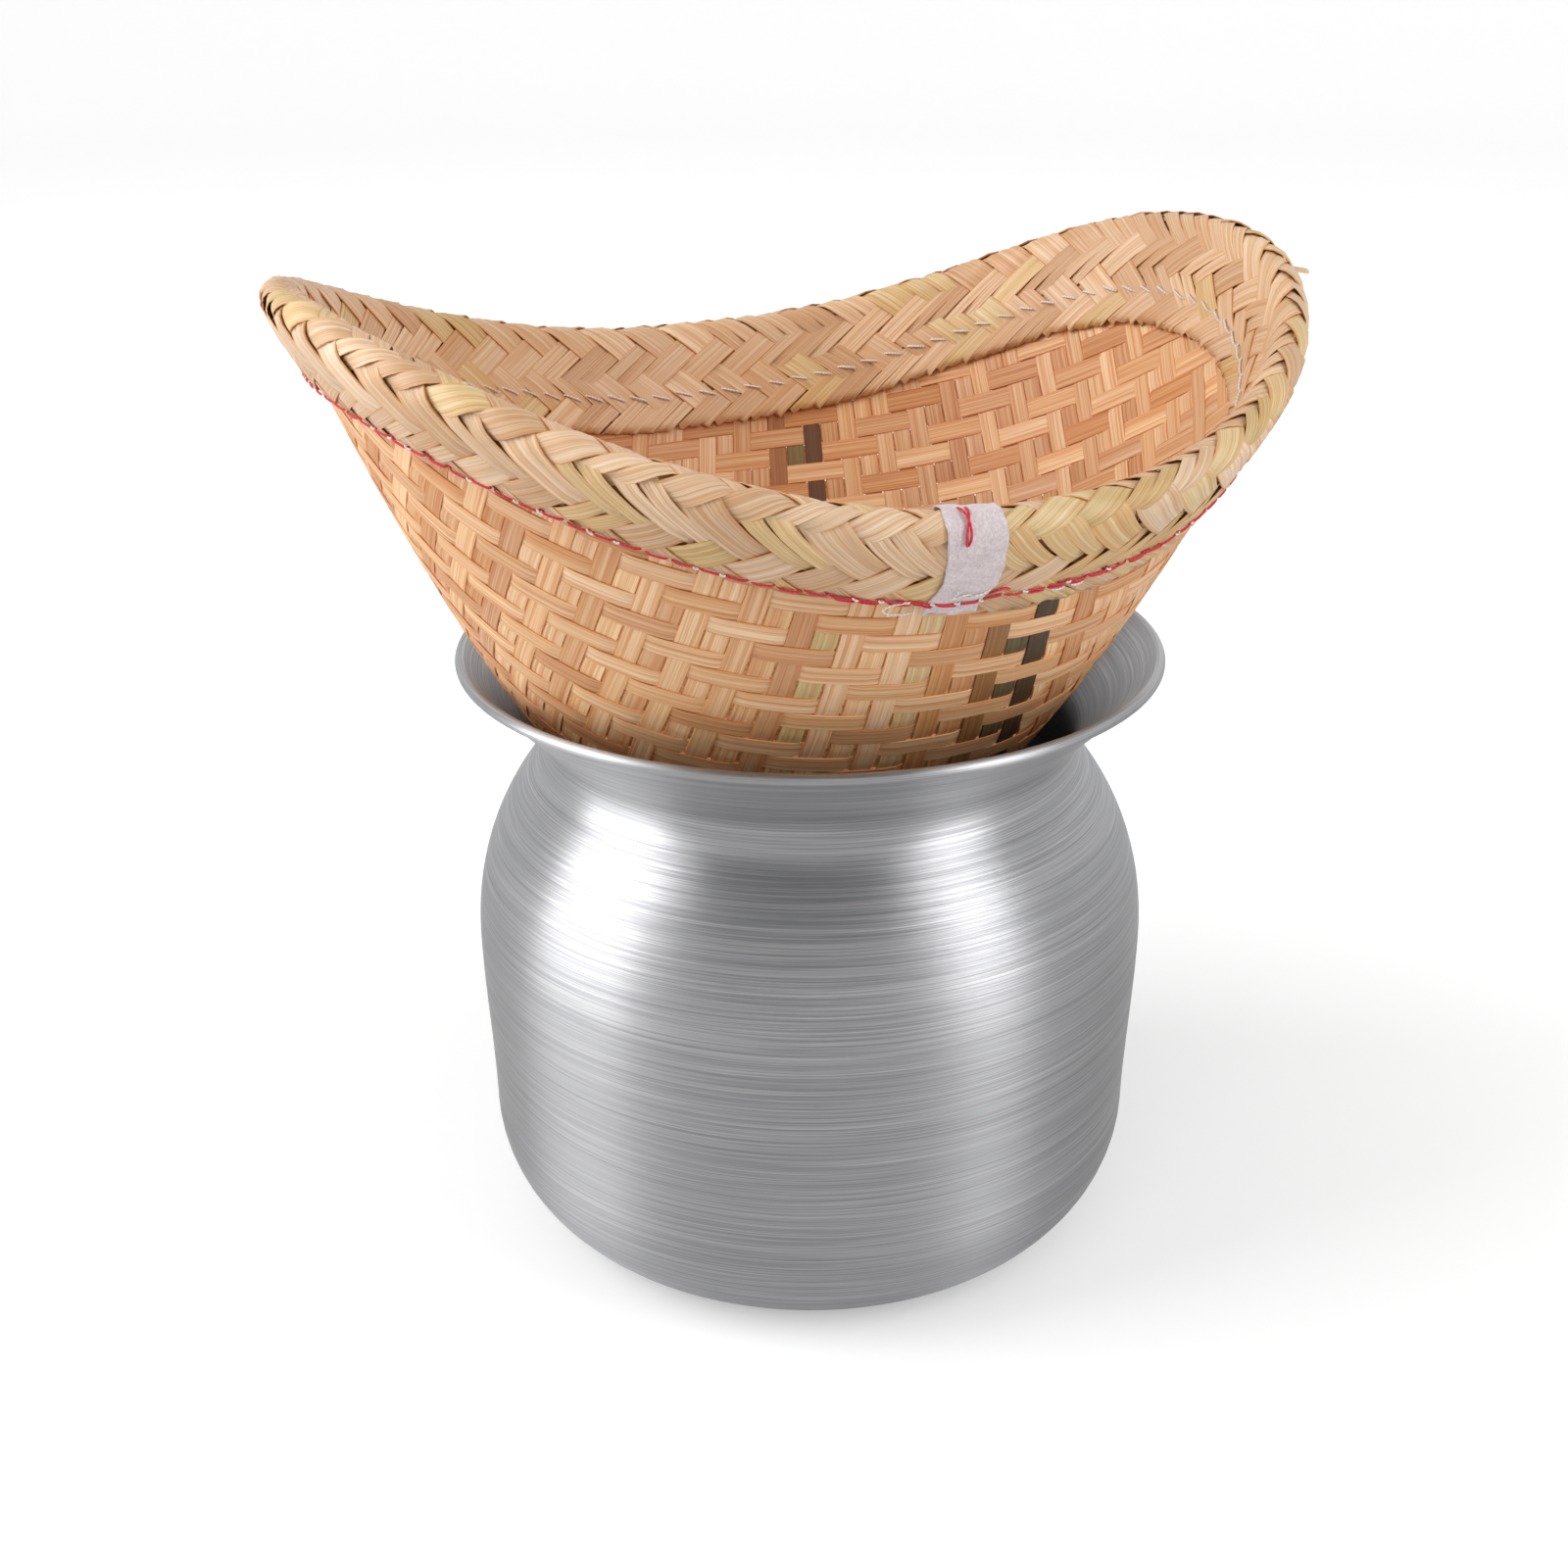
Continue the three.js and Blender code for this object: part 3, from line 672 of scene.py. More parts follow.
def bambooMaterial(name, warm, halfWidth, gloss):
    v = bamboo
    material, tree, shader = newMaterial(name)
    tint = stored(tree, "tint", "Color")
    along, across = stored(tree, "alongSplint"), stored(tree, "acrossSplint")
    shift = newNode(tree, "ShaderNodeSeparateColor", {0: tint}).outputs[0]
    offset = math1(tree, "MULTIPLY", shift, v["tintShift"])
    grain = newNode(tree, "ShaderNodeCombineXYZ", {0: across, 1: along, 2: offset}).outputs[0]
    fibres = stretchedNoise(tree, grain, *v["fibres"])
    broad = stretchedNoise(tree, grain, *v["broad"])
    patches = stretchedNoise(tree, objectPlace(tree), *v["patches"])
    edge = spread(tree, math1(tree, "ABSOLUTE", across), halfWidth * mm * v["edgeFrom"], halfWidth * mm,
                  0.0, v["edgeMix"])
    colour = tint
    for factor, tone in ((spread(tree, fibres, 0.4, 0.62, 0.0, 0.6), v["fibreTone"]),
                         (spread(tree, broad, 0.4, 0.65, 0.0, 0.6), warm),
                         (spread(tree, patches, 0.4, 0.75, 0.0, 0.3), v["patchTone"]),
                         (edge, v["edgeTone"])):
        colour = mixColors(tree, factor, colour, tone, "MULTIPLY")
    setInputs(tree, shader, {
        "Base Color": colour, "Specular IOR Level": v["specular"],
        "Roughness": spread(tree, fibres, 0.3, 0.7, gloss, gloss + v["roughnessRange"])})
    addBump(tree, shader, [(fibres, *v["fibreBump"]), (broad, *v["broadBump"])])
    return material


matTones = dict(
    low=srgb(208, 156, 108), high=srgb(250, 216, 174), warmth=0.035,
    shade=srgb(226, 170, 112), gloss=0.42,
    # splints that stand out in the photograph, by their number
    uprights={4: srgb(78, 62, 40), 3: srgb(98, 88, 60), 2: srgb(160, 122, 76), -5: srgb(212, 188, 136),
              -1: srgb(224, 200, 154), 28: srgb(208, 152, 100), 24: srgb(222, 168, 116)},
    crossers={26: srgb(112, 80, 50), 27: srgb(134, 116, 70), 28: srgb(176, 126, 80)},
    seeds=dict(uprights=3, crossers=5),
)


def splintTints(runs, special, seed):
    generator = np.random.default_rng(seed)
    low, high = np.array(matTones["low"]), np.array(matTones["high"])
    shades, tints = {}, []
    for k, *_ in runs:
        if k not in shades:
            mix = generator.random()
            warm = generator.normal(0, matTones["warmth"])
            shades[k] = (low + (high - low) * mix) * np.array([1 + warm * 0.4, 1, 1 - warm])
        tints.append(tuple(special.get(k, shades[k])))
    return tints


splintSweep, splintNames = splintTree()
matBamboo = bambooMaterial("splitBamboo", matTones["shade"], plait["splintWidth"] / 2, matTones["gloss"])
for kind in ("uprights", "crossers"):
    runs = splintRuns(kind == "crossers")
    name = "mat_" + kind
    paths = pathMesh(name + "_paths", runs, splintTints(runs, matTones[kind], matTones["seeds"][kind]))
    piece = grown(paths, splintSweep, splintNames, {
        "Width": plait["splintWidth"] * mm, "Thickness": plait["splintThickness"] * mm,
        "Edge": plait["splintEdge"] * mm, "Finish": matBamboo}, name)
    addPiece(piece, "basket", "basket_mat")
print("mat plaited")

# Band: flat strands plaited in tiers and folded over the edge of the mat.
# A run is a length over the band from its crest: more than zero outside, less inside.
band = dict(
    roll=5.4, outsideReach=31.0, insideReach=39.0, ply=1.8, gap=0.3, bulge=0.45, rollSteps=17,
    strands=58, doubles=0.3, widthPart=0.98, nominalWidth=8.0, thickness=0.5, corner=0.14,
    step=2.2, cutsAcross=2, endReach=1.6, seed=7, firstStrand=-114.7,
    # the edges, where the strands are turned under; outside it hangs lower where the braid's ends overlap
    edge=31.0, lapEdge=37.5, lapFrom=-4.0, lapIn=14.0, lapTo=260.0, lapOut=80.0, lapBack=-60.0,
    insideEdge=-40.5, foldDepth=1.4, foldLength=1.9,
    # where tiers meet, from the outside edge to the inside edge
    meets=(39.0, 28.5, 19.5, 6.5, -1.5, -13.0, -22.7, -31.5, -43.0),
    # how far a strand runs along the rim for each length across: at its outer and its inner end
    slants=((1.9, 1.4), (1.5, 1.5), (1.4, 0.75), (1.6, 1.7), (1.3, 1.2), (1.5, 1.5), (1.3, 1.25), (1.5, 1.5)),
    # how high the strands of each tier stand
    sink=0.85, rise=(0.34, 0.42, 0.55, 0.55, 0.4, 0.32, 0.32, 0.32),
    swell=(0.2, 0.35, 0.5, 0.5, 0.3, 0.2, 0.2, 0.2), firstReach=2.5,
    # unevenness of the strands: along the rim, across a splint, in height and in width
    jitter=0.4, aside=0.12, level=0.05, secondLevel=0.1, narrowest=0.98, wider=0.05,
    outsideTiers=4, crestTier=3,
)


def cutCorners(line):
    for _ in range(3):
        cut = np.empty((2 * len(line) - 2, line.shape[1]))
        cut[0::2] = 0.75 * line[:-1] + 0.25 * line[1:]
        cut[1::2] = 0.25 * line[:-1] + 0.75 * line[1:]
        line = np.concatenate([line[:1], cut, line[-1:]])
    return line


def bandSection():
    # how far below the crest, and how far out from the wall, the band lies at each run
    v = band
    middle = -basket["matWall"] / 2

    def side(sign, reach):
        edge = middle + sign * (basket["matWall"] / 2 + v["gap"] + v["ply"])
        roll = middle + sign * v["roll"]
        return [(reach, edge),
                (v["roll"] + (reach - v["roll"]) * v["bulge"], roll + (edge - roll) * v["bulge"] ** 2)]

    turns = np.linspace(0, math.pi, v["rollSteps"])
    roll = [(v["roll"] * (1 - math.sin(a)), middle + v["roll"] * math.cos(a)) for a in turns]
    line = cutCorners(np.array(side(1, v["outsideReach"]) + roll + side(-1, v["insideReach"])[::-1]))
    lengths = np.concatenate([[0], np.cumsum(np.linalg.norm(np.diff(line, axis=0), axis=1))])
    crest = lengths[np.argmin(line[:, 0])]
    return (crest - lengths)[::-1], line[::-1]


bandRuns, bandLine = bandSection()


def shareBelowCrest(turn, down):
    step = basket["shareStep"]
    speed = np.linalg.norm(wallPoint(turn, 1) - wallPoint(turn, 1 - step), axis=-1) / step
    middle = 1 - down / speed / 2
    speed = np.linalg.norm(wallPoint(turn, middle) - wallPoint(turn, middle - step), axis=-1) / step
    return 1 - down / speed


def onBand(turn, run):
    below = np.interp(run, bandRuns, bandLine[:, 0])
    off = np.interp(run, bandRuns, bandLine[:, 1])
    below = below + np.maximum(run - bandRuns[-1], 0) + np.maximum(bandRuns[0] - run, 0)
    share = shareBelowCrest(turn, below)
    return wallPoint(turn, share) + wallNormal(turn, share) * off[..., None]


def overBand(turn, run, out):
    turn, run, out = np.broadcast_arrays(np.asarray(turn, float), run, out)
    across = onBand(turn, run + 0.25) - onBand(turn, run - 0.25)
    around = onBand(turn + 0.003, run) - onBand(turn - 0.003, run)
    normal = np.cross(across, around)
    normal /= np.linalg.norm(normal, axis=-1, keepdims=True)
    return onBand(turn, run) + normal * out[..., None], normal


# distance along the crest, from zero at the front
crestTurns = np.radians(np.arange(-720, 720.1, 0.5))
crestLine = onBand(crestTurns, np.zeros_like(crestTurns))
crestRun = np.concatenate([[0], np.cumsum(np.linalg.norm(np.diff(crestLine, axis=0), axis=1))])
crestRun -= np.interp(math.radians(-90), crestTurns, crestRun)
crestLength = np.interp(math.radians(270), crestTurns, crestRun)
print("crest length", round(float(crestLength), 1))


def turnAt(distance):
    return np.interp(distance, crestRun, crestTurns)


def nearFront(distance):
    return np.mod(distance + crestLength / 2, crestLength) - crestLength / 2


def outsideEdge(distance):
    v = band
    near = nearFront(distance)
    near = np.where(near < v["lapBack"], near + crestLength, near)
    lap = smooth((near - v["lapFrom"]) / v["lapIn"]) * (1 - smooth((near - v["lapTo"]) / v["lapOut"]))
    return v["edge"] + (v["lapEdge"] - v["edge"]) * lap


def foldedUnder(run, distance, out):
    # past an edge the strands turn under on a small round and run back
    v = band
    for sign, limit in ((1, outsideEdge(distance)), (-1, np.full_like(distance, v["insideEdge"]))):
        past = np.maximum(sign * (run - limit), 0)
        turned = np.minimum(past / v["foldLength"], 1) * math.pi
        radius = out + v["foldDepth"]
        back = np.maximum(past - v["foldLength"], 0)
        run = np.where(past > 0, limit + sign * (radius * np.sin(turned) - back), run)
        out = np.where(past > 0, radius * np.cos(turned) - v["foldDepth"], out)
    return run, out


def laidOver(piece, folds):
    # a piece made flat, with run along x, distance along the crest on y and height on z, goes over the band
    flat = np.empty(len(piece.data.vertices) * 3, np.float32)
    piece.data.vertices.foreach_get("co", flat)
    run, distance, out = (flat.reshape(-1, 3).astype(float) / mm).T
    if folds:
        run, out = foldedUnder(run, distance, out)
    place, _ = overBand(turnAt(distance), run, out)
    piece.data.vertices.foreach_set("co", (place * mm).astype(np.float32).ravel())
    piece.data.update()


def tierStrands():
    v = band
    pitch = crestLength / v["strands"]
    generator = np.random.default_rng(v["seed"])
    tiers = []
    for number, (outer, inner) in enumerate(zip(v["meets"][:-1], v["meets"][1:])):
        atOuter, atInner = v["slants"][number]

        def along(run, atOuter=atOuter, atInner=atInner, outer=outer, inner=inner):
            # distance along the rim covered between the inner end and this run
            t = (run - inner) / (outer - inner)
            return (outer - inner) * (atInner * t + (atOuter - atInner) * t * t / 2)

        # each tier leans against its neighbours
        tiers.append(dict(outer=outer, inner=inner, sense=1 if number % 2 == 0 else -1, along=along,
                          slantOuter=atOuter, slantInner=atInner, offset=0.0,
                          reachOuter=v["firstReach"], reachInner=v["firstReach"]))
    for first, second in zip(tiers[:-1], tiers[1:]):
        # their strands cross this far either side of where the two tiers meet
        half = pitch / (2 * (first["slantInner"] + second["slantOuter"]))
        first["reachInner"] = second["reachOuter"] = half
        run = first["inner"] + half
        second["offset"] = first["offset"] + first["sense"] * first["along"](run) \
            - second["sense"] * second["along"](run)
    # the strands are set round the rim so that the crest tier lies as seen
    crest = tiers[v["crestTier"]]
    shift = v["firstStrand"] - crest["offset"] - crest["sense"] * crest["along"](crest["outer"])
    for tier in tiers:
        tier["offset"] += shift
        tier["jitter"] = generator.normal(0, v["jitter"], v["strands"])
    return tiers, pitch


def strandRuns():
    v = band
    tiers, pitch = tierStrands()
    groups = {"outside": [], "inside": []}
    for number, tier in enumerate(tiers):
        generator = np.random.default_rng(v["seed"] + 10 * number)
        last = number == len(tiers) - 1
        outer, inner = tier["outer"], tier["inner"]
        reachOuter, reachInner = tier["reachOuter"], tier["reachInner"]
        outerReach = reachOuter + v["endReach"] if number else 0.0
        innerReach = 0.0 if last else reachInner + v["endReach"]
        span = outer - inner + outerReach + innerReach
        count = max(8, int(span * 1.5 / v["step"]))
        run = inner - innerReach + span * np.linspace(0, 1, count)
        slant = tier["slantInner"] + (tier["slantOuter"] - tier["slantInner"]) * np.clip(
            (run - inner) / (outer - inner), 0, 1)
        # down at both ends, up where the strand floats
        lift = np.ones_like(run)
        if not last:
            lift = np.minimum(lift, smooth((run - inner + reachInner) / (2 * reachInner)))
        if number:
            lift = np.minimum(lift, smooth((outer + reachOuter - run) / (2 * reachOuter)))
        longer = np.sqrt(1 + slant ** 2)
        width = pitch / longer * v["widthPart"]
        for j in range(v["strands"]):
            centre = tier["offset"] + tier["jitter"][j] + j * pitch + tier["sense"] * tier["along"](run)
            tone = generator.random()
            splints = 2 if generator.random() < v["doubles"] else 1
            for k in range(splints):
                part = (k + 0.5) / splints - 0.5
                aside = part * width * longer + generator.normal(0, v["aside"])
                level = generator.normal(0, v["level"]) + (v["secondLevel"] if k else 0.0)
                out = -v["sink"] + v["rise"][number] * (2 * lift - 1) + v["swell"][number] * lift ** 2 + level
                size = width / splints * (v["narrowest"] + v["wider"] * generator.random())
                groups["outside" if number < v["outsideTiers"] else "inside"].append(
                    ((number, j, tone, generator.random(), float(centre.mean())),
                     np.stack([run, centre + aside, out], 1),
                     np.tile((0.0, 0.0, 1.0), (count, 1)), size / v["nominalWidth"]))
    return groups


# Olive and yellowish strands are picked by chance, more often in the stretch right of the tag.
strandTones = dict(
    outside=(srgb(206, 174, 140), srgb(244, 223, 198)), inside=(srgb(212, 177, 141), srgb(240, 213, 181)),
    shade=srgb(238, 205, 162), gloss=0.31,
    olive=srgb(212, 188, 138), yellowish=srgb(226, 201, 154),
    oliveShare=dict(outside=0.07, inside=0.03), yellowShare=dict(outside=0.22, inside=0.12),
    greenFrom=6, greenTo=230, greener=0.2,
)


def strandTint(key, seed):
    v = strandTones
    number, j, tone, own, distance = key
    side = "outside" if number < band["outsideTiers"] else "inside"
    pick = np.random.default_rng(seed + 977 * number + j).random()
    greener = 0.0
    if side == "outside" and v["greenFrom"] < nearFront(distance) < v["greenTo"]:
        greener = v["greener"]
    if pick < v["oliveShare"][side] + greener * 0.5:
        colour = np.array(v["olive"]) * (0.95 + 0.15 * own)
    elif pick < v["yellowShare"][side] + greener * 2:
        colour = np.array(v["yellowish"]) * (0.95 + 0.1 * own)
    else:
        low, high = (np.array(c) for c in v[side])
        colour = low + (high - low) * (0.7 * tone + 0.3 * own)
    return tuple(np.clip(colour, 0, 1))


strandBamboo = bambooMaterial(
    "strandBamboo", strandTones["shade"], band["nominalWidth"] / 2, strandTones["gloss"])
for side, runs in strandRuns().items():
    name = "band_strands_" + side
    paths = pathMesh(name + "_paths", runs, [strandTint(key, band["seed"]) for key, *_ in runs])
    piece = grown(paths, splintSweep, splintNames, {
        "Width": band["nominalWidth"] * mm, "Thickness": band["thickness"] * mm,
        "Edge": band["corner"] * mm, "Cuts across": band["cutsAcross"], "Finish": strandBamboo}, name)
    laidOver(piece, folds=True)
    addPiece(piece, "basket", "rim_band")

# The plies under the strands that show
plies = dict(
    turnStep=2.0, columns=46, short=1.2, drop=-1.75, leastDown=4.0, clear=0.1,
    noise=(90, 90, 260), dark=srgb(168, 116, 70), light=srgb(212, 164, 112), roughness=0.75,
)


def innerPlies():
    v = plies
    distances = np.arange(0, 360, v["turnStep"]) / 360 * crestLength
    columns, count = v["columns"], len(distances)
    outer, inner = [], []
    for distance in distances:
        turn = float(turnAt(distance))
        lower = float(outsideEdge(np.array([distance]))[0]) - v["short"]
        runs = np.linspace(band["insideEdge"] + v["short"], lower, columns)
        outer += list(overBand(turn, runs, v["drop"])[0] * mm)
        # the other face lies against the mat
        down = np.interp(runs, bandRuns, bandLine[:, 0]) + np.maximum(runs - bandRuns[-1], 0)
        side = np.where(runs > 0, v["clear"], -basket["matWall"] - v["clear"])
        turns = np.full_like(runs, turn)
        share = shareBelowCrest(turns, np.maximum(down, v["leastDown"]))
        inner += list((wallPoint(turns, share) + wallNormal(turns, share) * side[:, None]) * mm)
    back = len(outer)
    faces = []
    for i in range(count):
        here, after = i * columns, (i + 1) % count * columns
        for j in range(columns - 1):
            a, b, c, d = here + j, here + j + 1, after + j + 1, after + j
            faces += [(a, b, c, d), (back + a, back + d, back + c, back + b)]
        end = columns - 1
        faces.append((after, back + after, back + here, here))
        faces.append((here + end, back + here + end, back + after + end, after + end))
    return meshObject("band_inner_plies", outer + inner, faces)


def pliesMaterial():
    material, tree, shader = newMaterial("innerPlies")
    noise = stretchedNoise(tree, objectPlace(tree), plies["noise"])
    setInputs(tree, shader, {
        "Base Color": mixColors(tree, noise, plies["dark"], plies["light"]), "Roughness": plies["roughness"]})
    return material


core = innerPlies()
core.data.materials.append(pliesMaterial())
addPiece(core, "basket", "rim_band")
print("band plaited")

# Threads: machine stitches through the band, red outside and white inside
seam = dict(
    seed=21, sides=6, pointsPerStitch=8, height=0.42, dip=0.6, flatness=6,
    redRun=29.6, redStitch=7.2, redGap=0.12, redRadius=0.33,
    redSlant=0.25, redWander=0.2, redSize=(0.85, 0.3),
    # stretches where the red thread was sewn twice, and how far off the second one lies
    sewnTwice=((18.0, 66.0), (-46.0, -8.0)), secondRun=0.75, secondShift=1.2,
    whiteRun=-29.5, whiteStitch=9.4, whiteGap=1.2, whiteRadius=0.36, whiteSlant=1.0, whiteWander=0.15,
    whiteRaise=0.1, whiteSize=(0.9, 0.2),
    # a little of the white thread is pulled up between two red stitches
    knotShare=0.55, knotRadius=0.34, knotPoints=5, knotLength=1.2, knotSlant=(0.4, 0.5), knotBase=0.1,
    knotHeight=0.45, knotSize=0.9, overTagRaise=0.1,
    # the ply twist spaces the painted shade bands along the threads; the dark end of red and white is partly
    # that painted shade and partly random fuzz tone
    twistShadeRate=5200.0, fuzz=((2400, 2400, 2400), 3.0, 0.6), fuzzBump=(0.5, 0.0001), roughness=0.7, sheen=0.2,
    red=(srgb(172, 12, 30), srgb(226, 40, 58)), white=(srgb(196, 184, 176), srgb(246, 240, 234)),
)
tag = dict(
    centre=-8.3, width=16.0, outsideRun=33.8, insideRun=-13.0, leanFrom=21.0, rightLean=2.6, lean=0.2,
    cloth=0.45, height=0.95, seamHeight=0.62, seamReach=1.6, edgeReach=1.5, cellsAcross=24, cellsAlong=64,
    tailFrom=28.0, tailLength=8.0, tailLift=0.5, cornerFrom=33.0, cornerLength=4.0, cornerLift=0.9,
    # fray of the sides and wave of the lower end: a size, a rate and a start each
    # creases: a height and its rates along and across each
    fray=((0.1, 0.9, 0.0), (0.06, 2.3, 1.0)), wave=((0.5, 9.0, 1.0), (0.35, 23.0, 0.0)),
    creases=((0.16, 0.75, 5.0), (0.1, 1.9, -9.0), (0.12, 0.35, 14.0)),
)


def threadTree():
    tree, names, given = beginTree("sewnThread", {
        "Paths": ("Geometry", None), "Radius": ("Float", 0.0004), "Sides": ("Int", 6),
        "Finish": ("Material", None)})
    curves = newNode(tree, "GeometryNodeMeshToCurve", {"Mesh": given["Paths"]}).outputs[0]
    section = newNode(tree, "GeometryNodeCurvePrimitiveCircle", {
        "Resolution": given["Sides"], "Radius": given["Radius"]}, mode="RADIUS").outputs[0]
    sweepAndEnd(tree, given, curves, section)
    return tree, names


def threadMaterial(name, dark, light):
    material, tree, shader = newMaterial(name)
    # light and dark bands along the thread: painted shade between the twisted plies; the fuzz adds random
    # tone
    ply = math1(tree, "SINE", math1(tree, "MULTIPLY", stored(tree, "alongSplint"), seam["twistShadeRate"]))
    fuzz = stretchedNoise(tree, objectPlace(tree), *seam["fuzz"])
    mix = math1(tree, "ADD", spread(tree, ply, -1, 1, 0, 0.5), spread(tree, fuzz, 0.3, 0.7, 0, 0.5))
    setInputs(tree, shader, {
        "Base Color": mixColors(tree, mix, dark, light), "Roughness": seam["roughness"],
        "Sheen Weight": seam["sheen"]})
    addBump(tree, shader, [(fuzz, *seam["fuzzBump"])])
    return material


def threadPiece(name, flatPaths, radius, finish, node):
    # flatPaths: arrays of (run, distance, height), with a size for each path
    runs = [(0, points, np.tile((0.0, 0.0, 1.0), (len(points), 1)), np.full(len(points), size))
            for points, size in flatPaths]
    paths = pathMesh(name + "_paths", runs, [(1.0, 1.0, 1.0)] * len(runs))
    piece = grown(paths, threadSweep, threadNames, {
        "Radius": radius * mm, "Sides": seam["sides"], "Finish": finish}, name)
    laidOver(piece, folds=False)
    addPiece(piece, "basket", node)


def tagCentre(run):
    v = tag
    return v["centre"] + v["rightLean"] * smooth(run / v["leanFrom"]) \
        - (v["rightLean"] + v["lean"]) * smooth((run - v["leanFrom"]) / (v["outsideRun"] - v["leanFrom"]))


def overTag(distance, run):
    # 1 on the cloth tag, 0 past its sides
    return 1 - smooth((np.abs(distance - tagCentre(run)) - tag["width"] / 2) / tag["edgeReach"])


def stitchDip(t):
    # a stitch lies flat and dips into the band at both ends
    return (seam["height"] + seam["dip"]) * np.abs(2 * t - 1) ** seam["flatness"]


def redStitches():
    v = seam
    generator = np.random.default_rng(v["seed"])
    count = int(round(crestLength / v["redStitch"]))
    pitch = crestLength / count
    paths, knots = [], []
    for i in range(count):
        start = (i - count / 2) * pitch
        twice = any(low < start + pitch / 2 < high for low, high in v["sewnTwice"])
        for second in range(2 if twice else 1):
            t = np.linspace(0, 1, v["pointsPerStitch"])
            distance = start + v["redGap"] + t * (pitch - 2 * v["redGap"]) \
                + (generator.normal(0, v["secondShift"]) if second else 0)
            slant = generator.normal(0, v["redSlant"])
            run = v["redRun"] + slant * (t - 0.5) * 2 + generator.normal(0, v["redWander"]) \
                + (v["secondRun"] if second else 0)
            level = v["height"] - stitchDip(t)
            level += overTag(distance, run) * (tag["seamHeight"] + v["overTagRaise"])
            size = v["redSize"][0] + v["redSize"][1] * generator.random()
            paths.append((np.stack([run, distance, level], 1), size))
        if generator.random() < v["knotShare"]:
            t = np.linspace(0, 1, v["knotPoints"])
            distance = start + (t - 0.5) * (v["knotLength"] + generator.random())
            run = v["redRun"] + (t - 0.5) * generator.normal(*v["knotSlant"])
            level = v["knotBase"] + v["knotHeight"] * np.sin(t * math.pi)
            level += overTag(distance, run) * tag["seamHeight"]
            knots.append((np.stack([run, distance, level], 1), v["knotSize"]))
    return paths, knots


def whiteStitches():
    v = seam
    generator = np.random.default_rng(v["seed"] + 1)
    count = int(round(crestLength / v["whiteStitch"]))
    pitch = crestLength / count
    paths = []
    for i in range(count):
        t = np.linspace(0, 1, v["pointsPerStitch"])
        distance = (i - count / 2) * pitch + v["whiteGap"] + t * (pitch - 2 * v["whiteGap"])
        run = v["whiteRun"] + v["whiteSlant"] * (t - 0.5) * 2 + generator.normal(0, v["whiteWander"])
        level = v["height"] + v["whiteRaise"] - stitchDip(t)
        size = v["whiteSize"][0] + v["whiteSize"][1] * generator.random()
        paths.append((np.stack([run, distance, level], 1), size))
    return paths


def curvedPath(corners, count, shift=0.0):
    # a smooth path through (run, distance, height) corners
    line = cutCorners(np.array(corners, float) + (0.0, shift, 0.0))
    return line[np.linspace(0, len(line) - 1, count).astype(int)]


# Loose bits of thread: corners as (run, distance, height), then the points and the size of each.
# Distances count from the side of the tag, its middle, or the crest's front.
rightOfTag = tagCentre(26.0) + tag["width"] / 2
leftOfTag = tagCentre(32.0) - tag["width"] / 2 - 4
onTag = tagCentre(26.0)
looseRed = [(rightOfTag, [(27.4, 0.5, 0.5), (26.0, 2, 0.9), (25.4, 4.5, 0.9), (26.6, 6.4, 0.6)], 10, 1.1)]
looseWhite = [
    (leftOfTag, [(29.6, -1, 0.3), (30.6, -7, 0.9), (33.2, -8.2, 1.0), (34.2, -4, 1.0), (33.4, 1, 0.7)],
     14, 0.8),
    (onTag, [(27.6, -3.4, 1.0), (26.4, -1.6, 1.5), (25.2, 0.6, 1.5), (26.2, 2.2, 1.1)], 10, 0.7),
    (onTag, [(27.2, 1.4, 1.1), (26.0, 3.4, 1.6), (25.6, 5.6, 1.6), (24.4, 7.2, 1.2)], 10, 0.7),
    (onTag, [(27.8, -2.6, 1.0), (25.0, -2.9, 1.6), (23.8, -1.8, 1.4)], 10, 0.7),
    (24.0, [(31.4, 0, 0.2), (31.7, 2, 0.7), (31.6, 4.5, 0.2)], 8, 1.0),
    (30.5, [(31.4, 0, 0.2), (31.7, 2, 0.7), (31.6, 4.5, 0.2)], 8, 1.0),
]
# the tie on the tag: one red thread whose two legs cross
tieValues = dict(
    side=-2.3, radius=0.34,
    legs=([(7.7, -0.2, 1.3), (6.2, -0.75, 1.6), (4.4, -0.525, 1.7),
           (2.6, 0.1, 1.75), (0.6, 0.95, 1.6), (-1.8, 1.35, 0.7)],
          [(7.6, 0.15, 1.3), (6.0, 0.675, 1.65), (4.3, 0.45, 1.8),
           (2.6, 0.1, 2.1), (1.0, -0.45, 1.9), (-1.6, -0.975, 0.8)]),
)


def loosePaths(rows):
    return [(curvedPath(corners, count, shift), size) for shift, corners, count, size in rows]


threadSweep, threadNames = threadTree()
redCotton = threadMaterial("redCotton", *seam["red"])
whiteCotton = threadMaterial("whiteCotton", *seam["white"])
redPaths, knotPaths = redStitches()
threadPiece("red_stitches", redPaths + loosePaths(looseRed), seam["redRadius"], redCotton,
            "red_seam_thread")
threadPiece("white_stitches", whiteStitches(), seam["whiteRadius"], whiteCotton,
            "white_seam_thread")
threadPiece("white_thread_knots", knotPaths + loosePaths(looseWhite), seam["knotRadius"], whiteCotton,
            "white_seam_thread")

# Cloth tag
cloth = dict(
    fibres=((1500, 1500, 900), 4.0, 0.7), clouds=((190, 190, 190), 3.0, 0.6),
    fine=((3800, 3800, 3800), 2.0, 0.6),
    dark=srgb(198, 182, 184), light=srgb(226, 215, 216), cloudTone=srgb(192, 176, 180), cloudMix=0.4,
    roughness=0.95, specular=0.2, sheen=0.35, fibreBump=(0.5, 0.0003), fineBump=(0.3, 0.0001),
)


